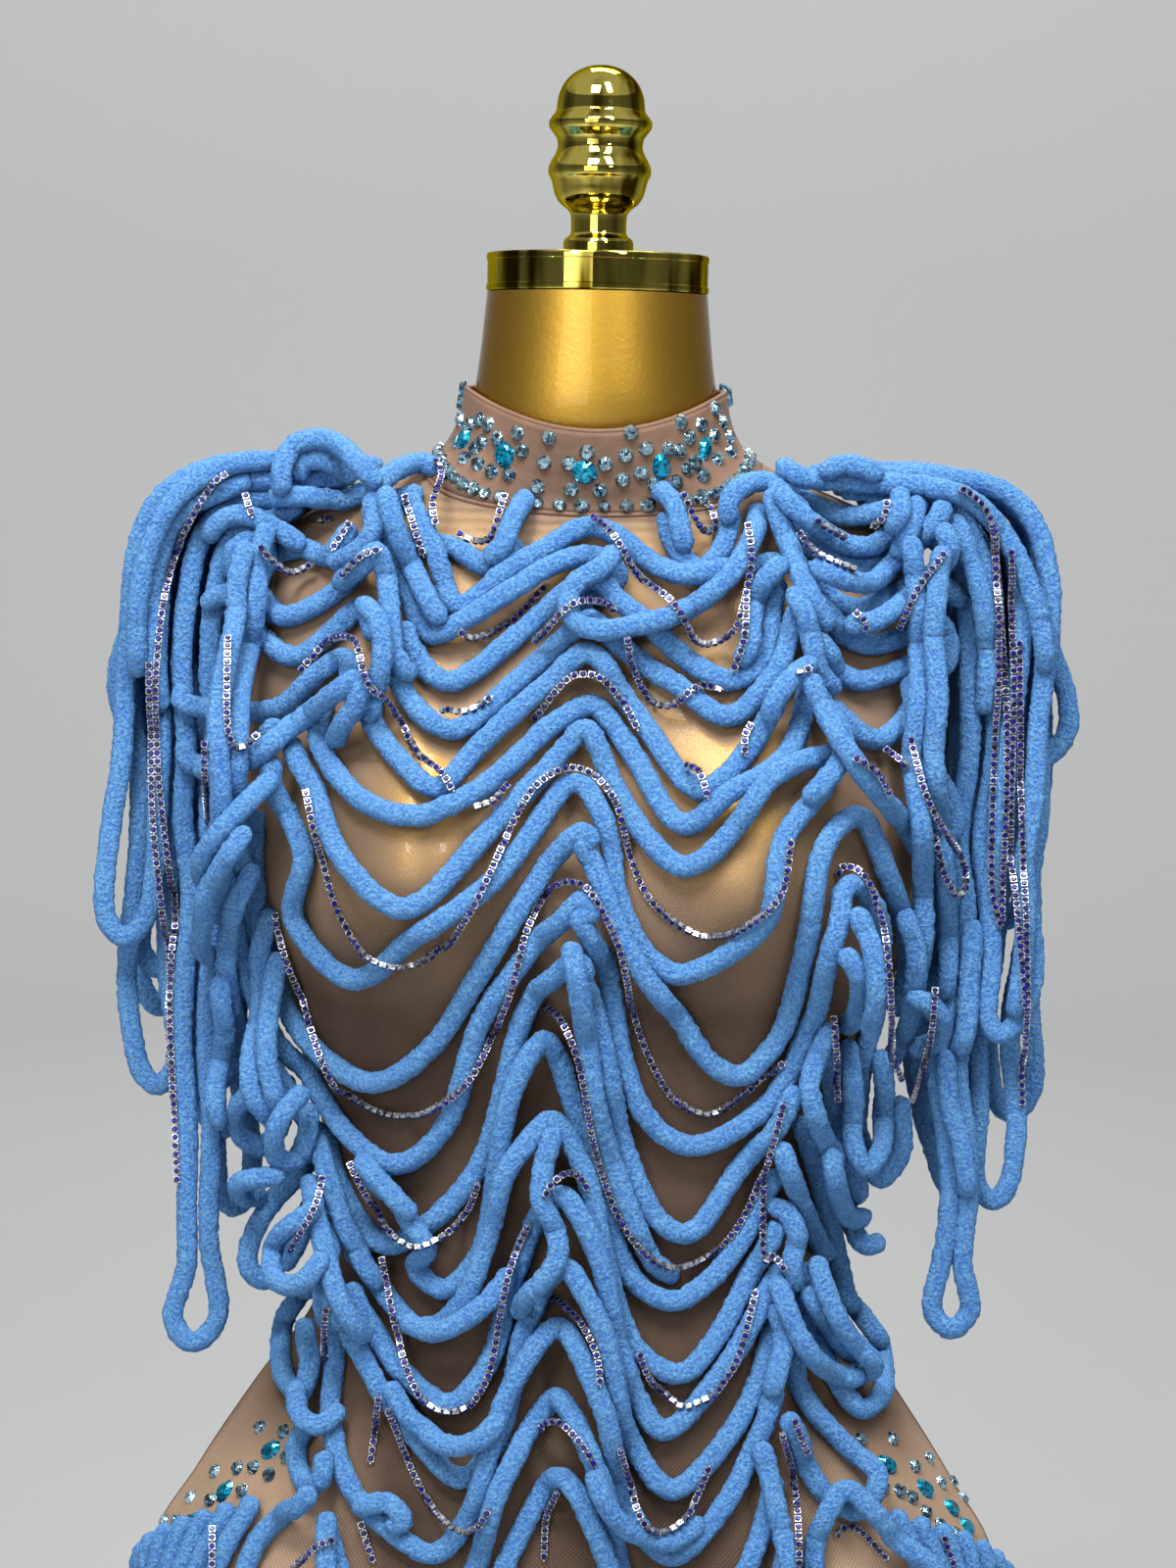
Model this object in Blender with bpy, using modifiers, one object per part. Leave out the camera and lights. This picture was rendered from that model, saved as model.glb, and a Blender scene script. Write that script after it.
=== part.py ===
"""Sheer high-necked mini dress with draped pile cords, worn on a limbless gold dress form.

Run with: blender --background --python part.py
Metres, +Z up. The dress faces -Y and the stand's underside lies at z = 0. "Left" is the side at
-X, on the left of someone who looks at the front.
"""

import math
from collections import namedtuple

import bmesh
import bpy
import numpy as np
from mathutils import Matrix, Vector
from mathutils.bvhtree import BVHTree

# Cloth and seams
SEAM_GAP = 0.0003
NECK_SEAM_GAP = 0.0006
CLOTH_CLEARANCE = 0.0015
MESH_THICKNESS = 0.0012
COLLAR_THICKNESS = 0.0018
HEM_HEIGHT = 0.192
CLOTH_FACE = CLOTH_CLEARANCE + MESH_THICKNESS
FORM_EASE = 0.0018

# Stand, neck cap and finial
BASE_RADIUS = 0.160
BASE_THICKNESS = 0.012
BASE_ROUNDING = 0.006
POST_RADIUS = 0.016
POST_FOOT_RADIUS = 0.030
POST_HEAD_RADIUS = 0.032
FORM_BOTTOM = 0.150
NECK_TOP = 0.984
CAP_RADIUS = 0.0515
CAP_HEIGHT = 0.0175
CAP_EDGE = 0.001
# The finial's turned outline, as (radius, height above the cap)
FINIAL = [(0.0, 0.0860), (0.0085, 0.0845), (0.0150, 0.0800), (0.0195, 0.0725), (0.0205, 0.0650),
          (0.0238, 0.0585), (0.0205, 0.0510), (0.0198, 0.0465), (0.0235, 0.0385), (0.0215, 0.0310),
          (0.0185, 0.0230), (0.0130, 0.0180), (0.0125, 0.0095), (0.0155, 0.0060), (0.0160, 0.0),
          (0.0, 0.0)]

# The torso, as level sections. Front and back are depths from the section's own centre line, and
# fullness squares the section off at its corners.
Section = namedtuple("Section", "height half_width front back centre fullness")
TORSO = [
    Section(0.150, 0.150, 0.090, 0.098, 0.006, 0.16),
    Section(0.200, 0.172, 0.098, 0.110, 0.006, 0.16),
    Section(0.260, 0.188, 0.104, 0.122, 0.006, 0.16),
    Section(0.330, 0.1985, 0.106, 0.130, 0.005, 0.16),
    Section(0.384, 0.1985, 0.103, 0.124, 0.003, 0.16),
    Section(0.422, 0.1785, 0.096, 0.110, 0.002, 0.16),
    Section(0.468, 0.1490, 0.087, 0.092, 0.001, 0.16),
    Section(0.505, 0.1230, 0.080, 0.080, 0.000, 0.16),
    Section(0.540, 0.1145, 0.076, 0.073, 0.000, 0.16),
    Section(0.594, 0.1205, 0.079, 0.076, 0.002, 0.18),
    Section(0.640, 0.1345, 0.087, 0.083, 0.004, 0.20),
    Section(0.690, 0.1500, 0.092, 0.090, 0.006, 0.22),
    Section(0.753, 0.1630, 0.088, 0.093, 0.010, 0.24),
    Section(0.800, 0.1620, 0.080, 0.088, 0.012, 0.24),
    Section(0.840, 0.1600, 0.070, 0.076, 0.013, 0.20),
    Section(0.862, 0.1540, 0.061, 0.065, 0.013, 0.12),
    Section(0.878, 0.1370, 0.054, 0.058, 0.012, 0.06),
    Section(0.890, 0.1100, 0.051, 0.054, 0.010, 0.02),
    Section(0.900, 0.0850, 0.051, 0.052, 0.007, 0.00),
    Section(0.912, 0.0665, 0.052, 0.052, 0.004, 0.00),
    Section(0.928, 0.0585, 0.0525, 0.0525, 0.001, 0.00),
    Section(0.950, 0.0545, 0.0520, 0.0520, 0.000, 0.00),
    Section(0.984, 0.0510, 0.0510, 0.0510, 0.000, 0.00),
]

BUST_APART = 0.080
BUST_HEIGHT = 0.728
BUST_RISE = 0.036
BUST_REACH = 0.050
BUST_REACH_UP = 0.066
BUST_REACH_DOWN = 0.042
BUST_FADE = 2.5

# Edges of the dress, as heights at the centre front, the sides and the centre back
NECKLINE = (0.883, 0.904, 0.914)
COLLAR_TOP = (0.922, 0.939, 0.945)
ARMHOLE_BOTTOM = 0.772
ARMHOLE_TOP = 0.876
ARMHOLE_DEPTH = 0.036
YOKE_HEIGHT = 0.800
COLLAR_FLARE = 0.0014

# Large faceted stones on the collar and the hips, as (x, height) in millimetres from the front
COLLAR_GEMS = [(-55, 921), (-37, 912), (-3, 905), (31, 908), (49, 915)]
HIP_GEMS = [(142, 447), (161, 429), (176, 414), (187, 402)]
GEM_RADIUS = 0.0052
GEM_HEIGHT = 0.0034

# Draped pile cord. Each route is a list of (x, height) in millimetres as seen from the front, where
# the middle of the cord passes. Later cords lie over earlier ones wherever they cross.
CORD_RADIUS = 0.0049
CORD_CLEARANCE = 0.0019
CORD_DISTANCE = CLOTH_FACE + CORD_CLEARANCE + CORD_RADIUS
CORD_SPACING = 2 * CORD_RADIUS + 0.0016
ROUTE_STEP = 0.004
LIFT_ROUNDNESS = 30.0
HANGING_DEPTH = -0.030
HANGING_FADE = 0.008
SIDE_LEAN = 0.7
HIGHEST_SEAT = 0.900
LAYING_STEP = 0.003
CORD_TOLERANCE = 0.0011
SEWN_GAP = 0.00045
SEWING_STEP = 0.001
SEWING_REACH = 0.010
FRINGE_TOLERANCE = 0.0026

NECK_SWAGS = {
    "neck_swag_left": [(-78, 893), (-97, 884), (-90, 873), (-64, 869), (-46, 861), (-33, 872)],
    "neck_swag_right": [(32, 886), (37, 872), (49, 861), (60, 873), (63, 888)],
}
FRONT_SWAGS = [
    [(-81, 887), (-68, 860), (-60, 842), (-30, 861), (1, 878), (26, 863), (43, 855), (70, 861), (88, 864)],
    [(-96, 875), (-84, 853), (-71, 830), (-39, 845), (-12, 862), (0, 866), (12, 857), (-4, 846), (4, 834),
     (21, 836), (39, 841), (58, 850), (70, 870), (76, 890)],
    [(-83, 832), (-78, 819), (-63, 809), (-42, 824), (-20, 841), (0, 852), (14, 842), (39, 823), (62, 812),
     (76, 820), (80, 838), (82, 855)],
    [(-88, 818), (-80, 802), (-60, 789), (-31, 811), (-10, 829), (0, 835), (12, 826), (39, 810), (62, 797),
     (82, 814), (91, 843)],
    [(-97, 806), (-97, 793), (-84, 777), (-67, 765), (-52, 779), (-20, 808), (-1, 821), (18, 801),
     (49, 766), (68, 781), (82, 800)],
    [(-118, 801), (-121, 783), (-103, 761), (-75, 753), (-46, 765), (-14, 793), (2, 800), (16, 785),
     (42, 751), (65, 765), (90, 784), (98, 814)],
    [(-131, 779), (-122, 763), (-106, 732), (-78, 712), (-45, 742), (-14, 775), (0, 788), (17, 757),
     (44, 732), (68, 752), (84, 771), (113, 781)],
    [(-133, 771), (-134, 750), (-126, 731), (-131, 700), (-103, 675), (-68, 706), (-41, 724), (-20, 752),
     (-6, 766), (8, 752), (14, 718), (28, 691), (42, 683), (64, 694), (80, 711), (86, 745), (106, 769)],
    [(-151, 746), (-152, 708), (-145, 673), (-132, 645), (-98, 625), (-72, 640), (-47, 680), (-19, 727),
     (-5, 743), (8, 725), (22, 695), (41, 664), (57, 641), (71, 634), (88, 652), (97, 690), (105, 742),
     (120, 753), (137, 722), (147, 694), (149, 672), (145, 652)],
    [(-158, 710), (-150, 672), (-130, 628), (-103, 595), (-83, 588), (-62, 607), (-45, 660), (-21, 696),
     (-5, 716), (8, 692), (15, 655), (30, 615), (50, 602), (84, 620), (101, 655), (105, 702), (118, 724),
     (132, 706), (134, 665), (129, 630), (131, 592), (140, 577), (149, 590), (148, 616)],
    [(-135, 634), (-122, 602), (-110, 570), (-90, 549), (-65, 565), (-45, 592), (-34, 630), (-24, 668),
     (-5, 690), (8, 655), (20, 600), (37, 566), (50, 561), (66, 581), (80, 603), (92, 632)],
    [(-93, 585), (-76, 568), (-66, 552), (-74, 541), (-62, 532), (-47, 545), (-38, 580), (-31, 626),
     (-17, 652), (-4, 622), (12, 570), (27, 538), (44, 530), (60, 539), (76, 560), (90, 588)],
    [(-104, 546), (-92, 530), (-71, 514), (-52, 526), (-39, 562), (-28, 600), (-12, 616), (2, 592),
     (13, 545), (28, 508), (48, 498), (63, 513), (77, 538), (88, 566)],
    [(-99, 530), (-89, 505), (-74, 490), (-56, 482), (-38, 504), (-24, 555), (-7, 583), (9, 555), (21, 505),
     (40, 473), (58, 487), (76, 515), (90, 545)],
    [(-97, 513), (-90, 491), (-72, 466), (-50, 450), (-34, 470), (-22, 520), (-5, 550), (11, 520),
     (24, 472), (44, 447), (62, 460), (80, 486), (91, 518)],
    [(-106, 528), (-112, 495), (-110, 460), (-98, 437), (-80, 424), (-63, 416), (-46, 435), (-30, 487),
     (-8, 519), (11, 487), (24, 440), (44, 418), (62, 431), (78, 457), (88, 490)],
    [(-112, 425), (-102, 400), (-84, 388), (-64, 382), (-47, 402), (-30, 452), (-8, 487), (12, 452),
     (26, 402), (46, 381), (68, 395), (84, 423), (92, 452)],
    [(-118, 392), (-104, 364), (-84, 350), (-64, 346), (-46, 364), (-29, 416), (-6, 453), (15, 416),
     (29, 365), (49, 343), (71, 358), (90, 390), (97, 420)],
]
SIDE_LOOPS = {
    "left_loop_1": [(-146, 622), (-157, 608), (-157, 594), (-147, 587), (-139, 597), (-138, 614)],
    "left_loop_2": [(-124, 580), (-140, 566), (-152, 549), (-155, 532), (-147, 525), (-138, 540),
                    (-125, 560)],
    "left_loop_3": [(-117, 528), (-130, 512), (-140, 496), (-136, 481), (-124, 477), (-118, 492),
                    (-119, 508)],
    "left_loop_4": [(-122, 466), (-129, 455), (-124, 441), (-113, 444), (-111, 456)],
    "right_loop_1": [(100, 612), (112, 576), (121, 542), (129, 513), (143, 496), (144, 478), (132, 474),
                     (121, 488), (106, 516), (98, 545)],
    "right_loop_2": [(94, 506), (108, 480), (124, 462), (137, 446), (130, 433), (115, 442), (103, 460),
                     (90, 478)],
    "right_loop_3": [(112, 642), (120, 600), (125, 566), (134, 545), (143, 548)],
    "hip_swag_left": [(-113, 440), (-120, 432), (-130, 427), (-144, 414), (-151, 397), (-150, 372)],
    "hip_swag_right": [(110, 395), (112, 430), (120, 443), (133, 431), (147, 416), (163, 402), (172, 380)],
}
SHOULDER_SWAGS = {
    "shoulder_left_1": [(-104, 893), (-118, 884), (-140, 878)],
    "shoulder_left_2": [(-150, 862), (-134, 866), (-118, 862), (-106, 872)],
    "shoulder_left_3": [(-155, 846), (-142, 835), (-122, 843), (-104, 858)],
    "shoulder_left_4": [(-156, 828), (-136, 817), (-117, 829), (-104, 840), (-97, 826)],
    "shoulder_left_5": [(-157, 790), (-141, 794), (-125, 807), (-111, 818), (-107, 806)],
    "shoulder_left_6": [(-158, 768), (-146, 777), (-134, 786)],
    "shoulder_right_1": [(84, 898), (98, 891), (112, 885), (126, 879), (138, 881)],
    "shoulder_right_2": [(84, 882), (97, 873), (112, 866), (127, 863), (139, 869)],
    "shoulder_right_3": [(96, 862), (107, 851), (122, 844), (138, 850), (150, 858)],
    "shoulder_right_4": [(97, 846), (112, 834), (127, 828), (145, 832), (155, 843)],
    "shoulder_right_5": [(97, 829), (107, 820), (121, 812), (138, 815), (157, 822)],
    "shoulder_right_6": [(107, 803), (118, 793), (131, 786), (146, 796), (154, 808)],
}

# Hanging loops of the same cord from the shoulder tips. Each row is one hairpin: which upright
# plane it hangs in, its place in that plane, its legs' distances from the middle of the body at
# its foot, and the height of the foot.
Loop = namedtuple("Loop", "plane place inner outer foot")
SHOULDER_PLANES = [-0.027, -0.013, 0.001, 0.015, 0.029]
SHOULDER_LEGS = [(0.1745, 0.8820), (0.1870, 0.8940), (0.1995, 0.9060), (0.2120, 0.9180)]
SHOULDER_HEAD_X = 0.146
SHOULDER_HEAD_THICKNESS = 0.005
SHOULDER_HEAD_MARGIN = 0.004
SHOULDER_FAN = 1.25
# A leg's way over the shoulder, as (share of its reach, drop below its root)
SHOULDER_ARCH = [(0.0, 0.0), (0.45, 0.0005), (0.86, 0.013), (1.0, 0.034)]
STRAIGHT_ABOVE_FOOT = 0.090
LEFT_LOOPS = [
    Loop(0, 0, 0.164, 0.190, 0.493), Loop(0, 1, 0.198, 0.216, 0.684), Loop(1, 0, 0.166, 0.180, 0.613),
    Loop(1, 1, 0.192, 0.208, 0.612), Loop(2, 0, 0.165, 0.179, 0.664), Loop(2, 1, 0.191, 0.206, 0.664),
    Loop(3, 0, 0.166, 0.184, 0.584), Loop(3, 1, 0.197, 0.222, 0.772), Loop(4, 0, 0.166, 0.179, 0.541),
    Loop(4, 1, 0.192, 0.210, 0.640),
]
RIGHT_LOOPS = [
    Loop(0, 0, 0.162, 0.185, 0.506), Loop(0, 1, 0.190, 0.205, 0.647), Loop(1, 0, 0.167, 0.181, 0.684),
    Loop(1, 1, 0.190, 0.204, 0.564), Loop(2, 0, 0.166, 0.179, 0.600), Loop(2, 1, 0.198, 0.224, 0.772),
    Loop(3, 0, 0.166, 0.181, 0.560), Loop(3, 1, 0.194, 0.211, 0.600), Loop(4, 0, 0.166, 0.180, 0.640),
    Loop(4, 1, 0.192, 0.210, 0.690),
]

# The short fringe below each hip's stones
HIP_STRIP = ((0.90, 0.424), (1.50, 0.374))
HIP_STRIP_WIDTH = 0.008
HIP_STRIP_THICKNESS = 0.0035
HIP_STRIP_COLUMNS = 10
HIP_STRIP_OFF_CLOTH = 0.0016
HIP_STRAND_OFF_STRIP = 0.0024
HIP_STRANDS = 8
HIP_STRAND_ROOT = -0.013
HIP_STRAND_LENGTH = 0.105


def steady_slopes(places, values):
    """Slopes that carry a smooth curve through the values with no overshoot."""
    steps = np.diff(places)
    rises = np.diff(values) / steps
    slopes = np.empty(len(values))
    slopes[0], slopes[-1] = rises[0], rises[-1]
    for i in range(1, len(values) - 1):
        before, after = rises[i - 1], rises[i]
        if before * after <= 0:
            slopes[i] = 0.0
            continue
        near, far = 2 * steps[i] + steps[i - 1], steps[i] + 2 * steps[i - 1]
        slopes[i] = (near + far) / (near / before + far / after)
    return slopes


HEIGHTS = np.array([row.height for row in TORSO])
COLUMNS = {name: np.array([getattr(row, name) for row in TORSO]) for name in Section._fields[1:]}
SLOPES = {name: steady_slopes(HEIGHTS, values) for name, values in COLUMNS.items()}


def torso(column, height):
    """One column of the torso's sections, read at any height."""
    height = min(max(height, HEIGHTS[0]), HEIGHTS[-1])
    i = min(int(np.searchsorted(HEIGHTS, height, side="right")) - 1, len(HEIGHTS) - 2)
    span = HEIGHTS[i + 1] - HEIGHTS[i]
    t = (height - HEIGHTS[i]) / span
    values, slopes = COLUMNS[column], SLOPES[column]
    low = values[i] * (1 + 2 * t) * (1 - t) ** 2 + slopes[i] * span * t * (1 - t) ** 2
    high = values[i + 1] * t * t * (3 - 2 * t) + slopes[i + 1] * span * t * t * (t - 1)
    return low + high


def bust(x, height):
    """How far the bust stands proud of the chest."""
    reach = BUST_REACH_UP if height > BUST_HEIGHT else BUST_REACH_DOWN
    across = (abs(x) - BUST_APART) / BUST_REACH
    up = (height - BUST_HEIGHT) / reach
    return BUST_RISE * math.exp(-across * across - up * up)


def body_point(angle, height):
    """A point of the torso: angle 0 is the centre front and a quarter turn is the +X side."""
    side, facing = math.sin(angle), math.cos(angle)
    x = torso("half_width", height) * side
    depth = torso("front" if facing > 0 else "back", height)
    y = torso("centre", height) - depth * facing * (1 + torso("fullness", height) * side * side)
    if facing > 0:
        y -= bust(x, height) * min(1.0, BUST_FADE * facing)
    return Vector((x, y, height))


def off_body(angle, height, distance):
    """A point that stands a distance off the torso, square to its surface."""
    turn, lift = 0.002, 0.0004
    across = body_point(angle + turn, height) - body_point(angle - turn, height)
    up = body_point(angle, height + lift) - body_point(angle, height - lift)
    return body_point(angle, height) + across.cross(up).normalized() * distance


def edge_angle(height, depth, column):
    """The angle at which the front or the back of the torso is this deep, near its side."""
    reach = torso(column, height) * (1 + torso("fullness", height))
    return math.acos(min(1.0, depth / reach))


def around(angle, heights):
    """A height that changes from the centre front to the sides to the centre back."""
    front, side, back = heights
    facing = math.cos(angle)
    return side + ((front if facing > 0 else back) - side) * facing * facing


# The heights at which the torso and the panels have a row of points
PANEL_LEVELS = [HEM_HEIGHT, 0.245, 0.300, 0.345, 0.380, 0.404, 0.430, 0.460, 0.495, 0.535, 0.585,
                0.635, 0.672, 0.704, 0.732, 0.756, 0.775, 0.795, 0.815, 0.833, 0.848, 0.860, 0.869,
                0.877, 0.886, 0.895, 0.904]


FRONT_COLUMNS = 16
BACK_COLUMNS = 8
COLLAR_COLUMNS = 36
COLLAR_ROWS = 4

# Materials, one for each sub-part
COLOURS = {
    "gold_paint": ((0.55, 0.34, 0.08), 0.28, 0.85),
    "polished_gold": ((0.83, 0.60, 0.16), 0.08, 1.0),
    "tan_mesh": ((0.42, 0.27, 0.18), 0.80, 0.0),
    "blue_pile": ((0.16, 0.40, 0.84), 0.95, 0.0),
}


def material(name):
    made = bpy.data.materials.get(name)
    if made:
        return made
    colour, roughness, metallic = COLOURS[name]
    made = bpy.data.materials.new(name)
    made.use_nodes = True
    shader = made.node_tree.nodes["Principled BSDF"]
    shader.inputs["Base Color"].default_value = (*colour, 1.0)
    shader.inputs["Roughness"].default_value = roughness
    shader.inputs["Metallic"].default_value = metallic
    return made


def add_object(name, mesh, finish, collection):
    obj = bpy.data.objects.new(name, mesh)
    mesh.materials.append(material(finish))
    collection.objects.link(obj)
    return obj


def mesh_from(name, bm):
    mesh = bpy.data.meshes.new(name)
    bm.to_mesh(mesh)
    bm.free()
    return mesh


# The form on its stand
TORSO_COLUMNS = 26
TORSO_FOOT = [(FORM_BOTTOM, 0.006), (0.156, 0.0025), (0.175, FORM_EASE)]
TORSO_NECK = [(0.915, 0.0006), (0.930, 0.0), (0.950, 0.0), (NECK_TOP, 0.0)]


def loft(bm, rings):
    """Closed rings of points joined by quads and capped at both ends."""
    made = [[bm.verts.new(point) for point in ring] for ring in rings]
    for lower, upper in zip(made, made[1:]):
        for i in range(len(lower)):
            j = (i + 1) % len(lower)
            bm.faces.new((lower[i], lower[j], upper[j], upper[i]))
    bm.faces.new(reversed(made[0]))
    bm.faces.new(made[-1])


def turned(name, profile, finish, collection, steps=24):
    """A solid of revolution about +Z from (radius, height) points, listed from the top down."""
    mesh = bpy.data.meshes.new(name)
    points = [(radius, 0.0, height) for radius, height in profile]
    mesh.from_pydata(points, [(i, i + 1) for i in range(len(points) - 1)], [])
    obj = add_object(name, mesh, finish, collection)
    screw = obj.modifiers.new("Turn", "SCREW")
    screw.steps = screw.render_steps = steps
    screw.use_merge_vertices = True
    screw.merge_threshold = 0.0001
    mesh.shade_smooth()
    return obj


def make_torso(collection):
    rings = []
    for level, tuck in TORSO_FOOT + [(level, FORM_EASE) for level in PANEL_LEVELS[1:]] + TORSO_NECK:
        turns = [2 * math.pi * i / TORSO_COLUMNS for i in range(TORSO_COLUMNS)]
        rings.append([off_body(turn, level, -tuck) for turn in turns])
        for point in rings[-1]:
            point.z = level
    bm = bmesh.new()
    loft(bm, rings)
    mesh = mesh_from("form_torso", bm)
    mesh.shade_smooth()
    return add_object("form_torso", mesh, "gold_paint", collection)


def make_stand(collection):
    """A flat round base and a post whose flanges meet the base and the form."""
    top, shoulder = BASE_THICKNESS, BASE_THICKNESS - BASE_ROUNDING
    base = [(0.0, top), (BASE_RADIUS - BASE_ROUNDING, top),
            (BASE_RADIUS - BASE_ROUNDING / 4, (top + shoulder) / 2), (BASE_RADIUS, shoulder),
            (BASE_RADIUS, 0.0), (0.0, 0.0)]
    turned("stand_base", base, "polished_gold", collection, steps=32)
    low, high = top + SEAM_GAP, FORM_BOTTOM - SEAM_GAP
    rim, slope = 0.005, 0.012
    post = [(0.0, high), (POST_HEAD_RADIUS, high), (POST_HEAD_RADIUS, high - rim),
            (POST_RADIUS, high - slope), (POST_RADIUS, low + slope),
            (POST_FOOT_RADIUS, low + rim), (POST_FOOT_RADIUS, low), (0.0, low)]
    turned("stand_post", post, "polished_gold", collection, steps=20)


def make_neck_top(collection):
    """A polished disc on the cut neck, and the turned finial on it."""
    low = NECK_TOP + SEAM_GAP
    high = low + CAP_HEIGHT
    face = CAP_RADIUS - CAP_EDGE
    cap = [(0.0, high), (face, high), (CAP_RADIUS, high - CAP_EDGE),
           (CAP_RADIUS, low + CAP_EDGE), (face, low), (0.0, low)]
    turned("form_cap", cap, "polished_gold", collection, steps=32)
    foot = high + SEAM_GAP
    finial = [(radius, foot + height) for radius, height in FINIAL]
    turned("form_finial", finial, "polished_gold", collection, steps=16)


# The cut and sewn cloth
def cloth_wall(name, grid, thickness, collection, finish="tan_mesh"):
    """A wall of cloth from rows of points on its inner face, thickened outwards."""
    bm = bmesh.new()
    made = [[bm.verts.new(point) for point in row] for row in grid]
    for lower, upper in zip(made, made[1:]):
        for i in range(len(lower) - 1):
            bm.faces.new((lower[i], lower[i + 1], upper[i + 1], upper[i]))
    mesh = mesh_from(name, bm)
    mesh.shade_smooth()
    obj = add_object(name, mesh, finish, collection)
    wall = obj.modifiers.new("Thickness", "SOLIDIFY")
    wall.thickness = thickness
    wall.offset = 1.0
    return obj


def panel_height(angle, level):
    """Level rows, bent near the top so that the last one is the neckline."""
    side = NECKLINE[1]
    share = max(0.0, (level - YOKE_HEIGHT) / (side - YOKE_HEIGHT))
    return level + (around(angle, NECKLINE) - side) * share * share


def side_edge(level, column):
    """Where a panel ends at the side seam, the armhole or the shoulder seam."""
    depth = SEAM_GAP / 2
    middle = (ARMHOLE_BOTTOM + ARMHOLE_TOP) / 2
    share = (level - middle) / (ARMHOLE_TOP - middle)
    if abs(share) < 1:
        depth += ARMHOLE_DEPTH * math.sqrt(1 - share * share)
    return edge_angle(level, depth, column)


def panel_grid(start, end, columns):
    """Rows of points between two edges, each given as an angle at every level."""
    grid = []
    for level in PANEL_LEVELS:
        low, high = start(level), end(level)
        turns = [low + (high - low) * i / columns for i in range(columns + 1)]
        grid.append([off_body(turn, panel_height(turn, level), CLOTH_CLEARANCE) for turn in turns])
    return grid


def add_gems(cloth, places, cutters):
    """Raised stones on the outer face of a piece, under (x, height) points seen from the front."""
    inner = cloth.data
    tree = BVHTree.FromPolygons([v.co for v in inner.vertices], [p.vertices for p in inner.polygons])
    bm = bmesh.new()
    for x, height in places:
        seen, _ = place_on_dress(x / 1000, height / 1000, CLOTH_FACE)
        seat, outward, _, _ = tree.find_nearest(seen)
        turn = Vector((0.0, 0.0, 1.0)).rotation_difference(outward).to_matrix().to_4x4()
        middle = seat + outward * (MESH_THICKNESS / 3 + GEM_HEIGHT / 2)
        bmesh.ops.create_cone(bm, cap_ends=True, segments=8, radius1=GEM_RADIUS, radius2=GEM_RADIUS * 0.55,
                              depth=GEM_HEIGHT, matrix=Matrix.Translation(middle) @ turn)
    fuse(cloth, mesh_from(cloth.name + "_gems", bm), cutters)


def make_panels(collection, cutters):
    def back_edge(level):
        return math.pi - side_edge(level, "back")

    def centre_back(level):
        return math.pi - SEAM_GAP / 2 / torso("half_width", level)

    front = panel_grid(lambda z: -side_edge(z, "front"), lambda z: side_edge(z, "front"), FRONT_COLUMNS)
    cloth = cloth_wall("front_panel", front, MESH_THICKNESS, collection)
    add_gems(cloth, [(side * x, height) for side in (-1, 1) for x, height in HIP_GEMS], cutters)
    right = panel_grid(back_edge, centre_back, BACK_COLUMNS)
    left = [[Vector((-point.x, point.y, point.z)) for point in reversed(row)] for row in right]
    return [cloth, cloth_wall("back_panel_right", right, MESH_THICKNESS, collection),
            cloth_wall("back_panel_left", left, MESH_THICKNESS, collection)]


def make_collar(collection, cutters):
    opening = SEAM_GAP / 2 / torso("half_width", COLLAR_TOP[2])
    grid = []
    for j in range(COLLAR_ROWS + 1):
        share = j / COLLAR_ROWS
        row = []
        for i in range(COLLAR_COLUMNS + 1):
            turn = -math.pi + opening + (2 * math.pi - 2 * opening) * i / COLLAR_COLUMNS
            low = around(turn, NECKLINE) + NECK_SEAM_GAP
            height = low + (around(turn, COLLAR_TOP) - low) * share
            row.append(off_body(turn, height, CLOTH_CLEARANCE + COLLAR_FLARE * share))
        grid.append(row)
    cloth = cloth_wall("collar", grid, COLLAR_THICKNESS, collection)
    add_gems(cloth, COLLAR_GEMS, cutters)
    return cloth


# Cord and fringe
def smooth_route(points, step):
    """Points about a step apart on a smooth curve that passes through all of these."""
    ends = [2 * points[0] - points[1], *points, 2 * points[-1] - points[-2]]
    route = []
    for before, here, there, after in zip(ends, ends[1:], ends[2:], ends[3:]):
        first = math.sqrt((here - before).length)
        second = first + math.sqrt((there - here).length)
        third = second + math.sqrt((after - there).length)
        count = max(1, round((there - here).length / step))
        for i in range(count):
            t = first + (second - first) * i / count
            share = (t - first) / (second - first)
            near = before.lerp(here, t / first).lerp(here.lerp(there, share), t / second)
            away = there.lerp(after, (t - second) / (third - second))
            far = here.lerp(there, share).lerp(away, (t - first) / (third - first))
            route.append(near.lerp(far, share))
    route.append(points[-1].copy())
    return route


def thinned(route, tolerance):
    """The fewest of a route's points that keep every other one within a tolerance."""
    if len(route) < 3:
        return route
    start, end = route[0], route[-1]
    along = end - start
    worst, away = 0, 0.0
    for i in range(1, len(route) - 1):
        share = min(1.0, max(0.0, (route[i] - start).dot(along) / max(along.length_squared, 1e-12)))
        distance = (route[i] - start - along * share).length
        if distance > away:
            worst, away = i, distance
    if away < tolerance:
        return [start, end]
    return thinned(route[: worst + 1], tolerance)[:-1] + thinned(route[worst:], tolerance)


def clamp(value, low, high):
    return min(max(value, low), high)


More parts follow.
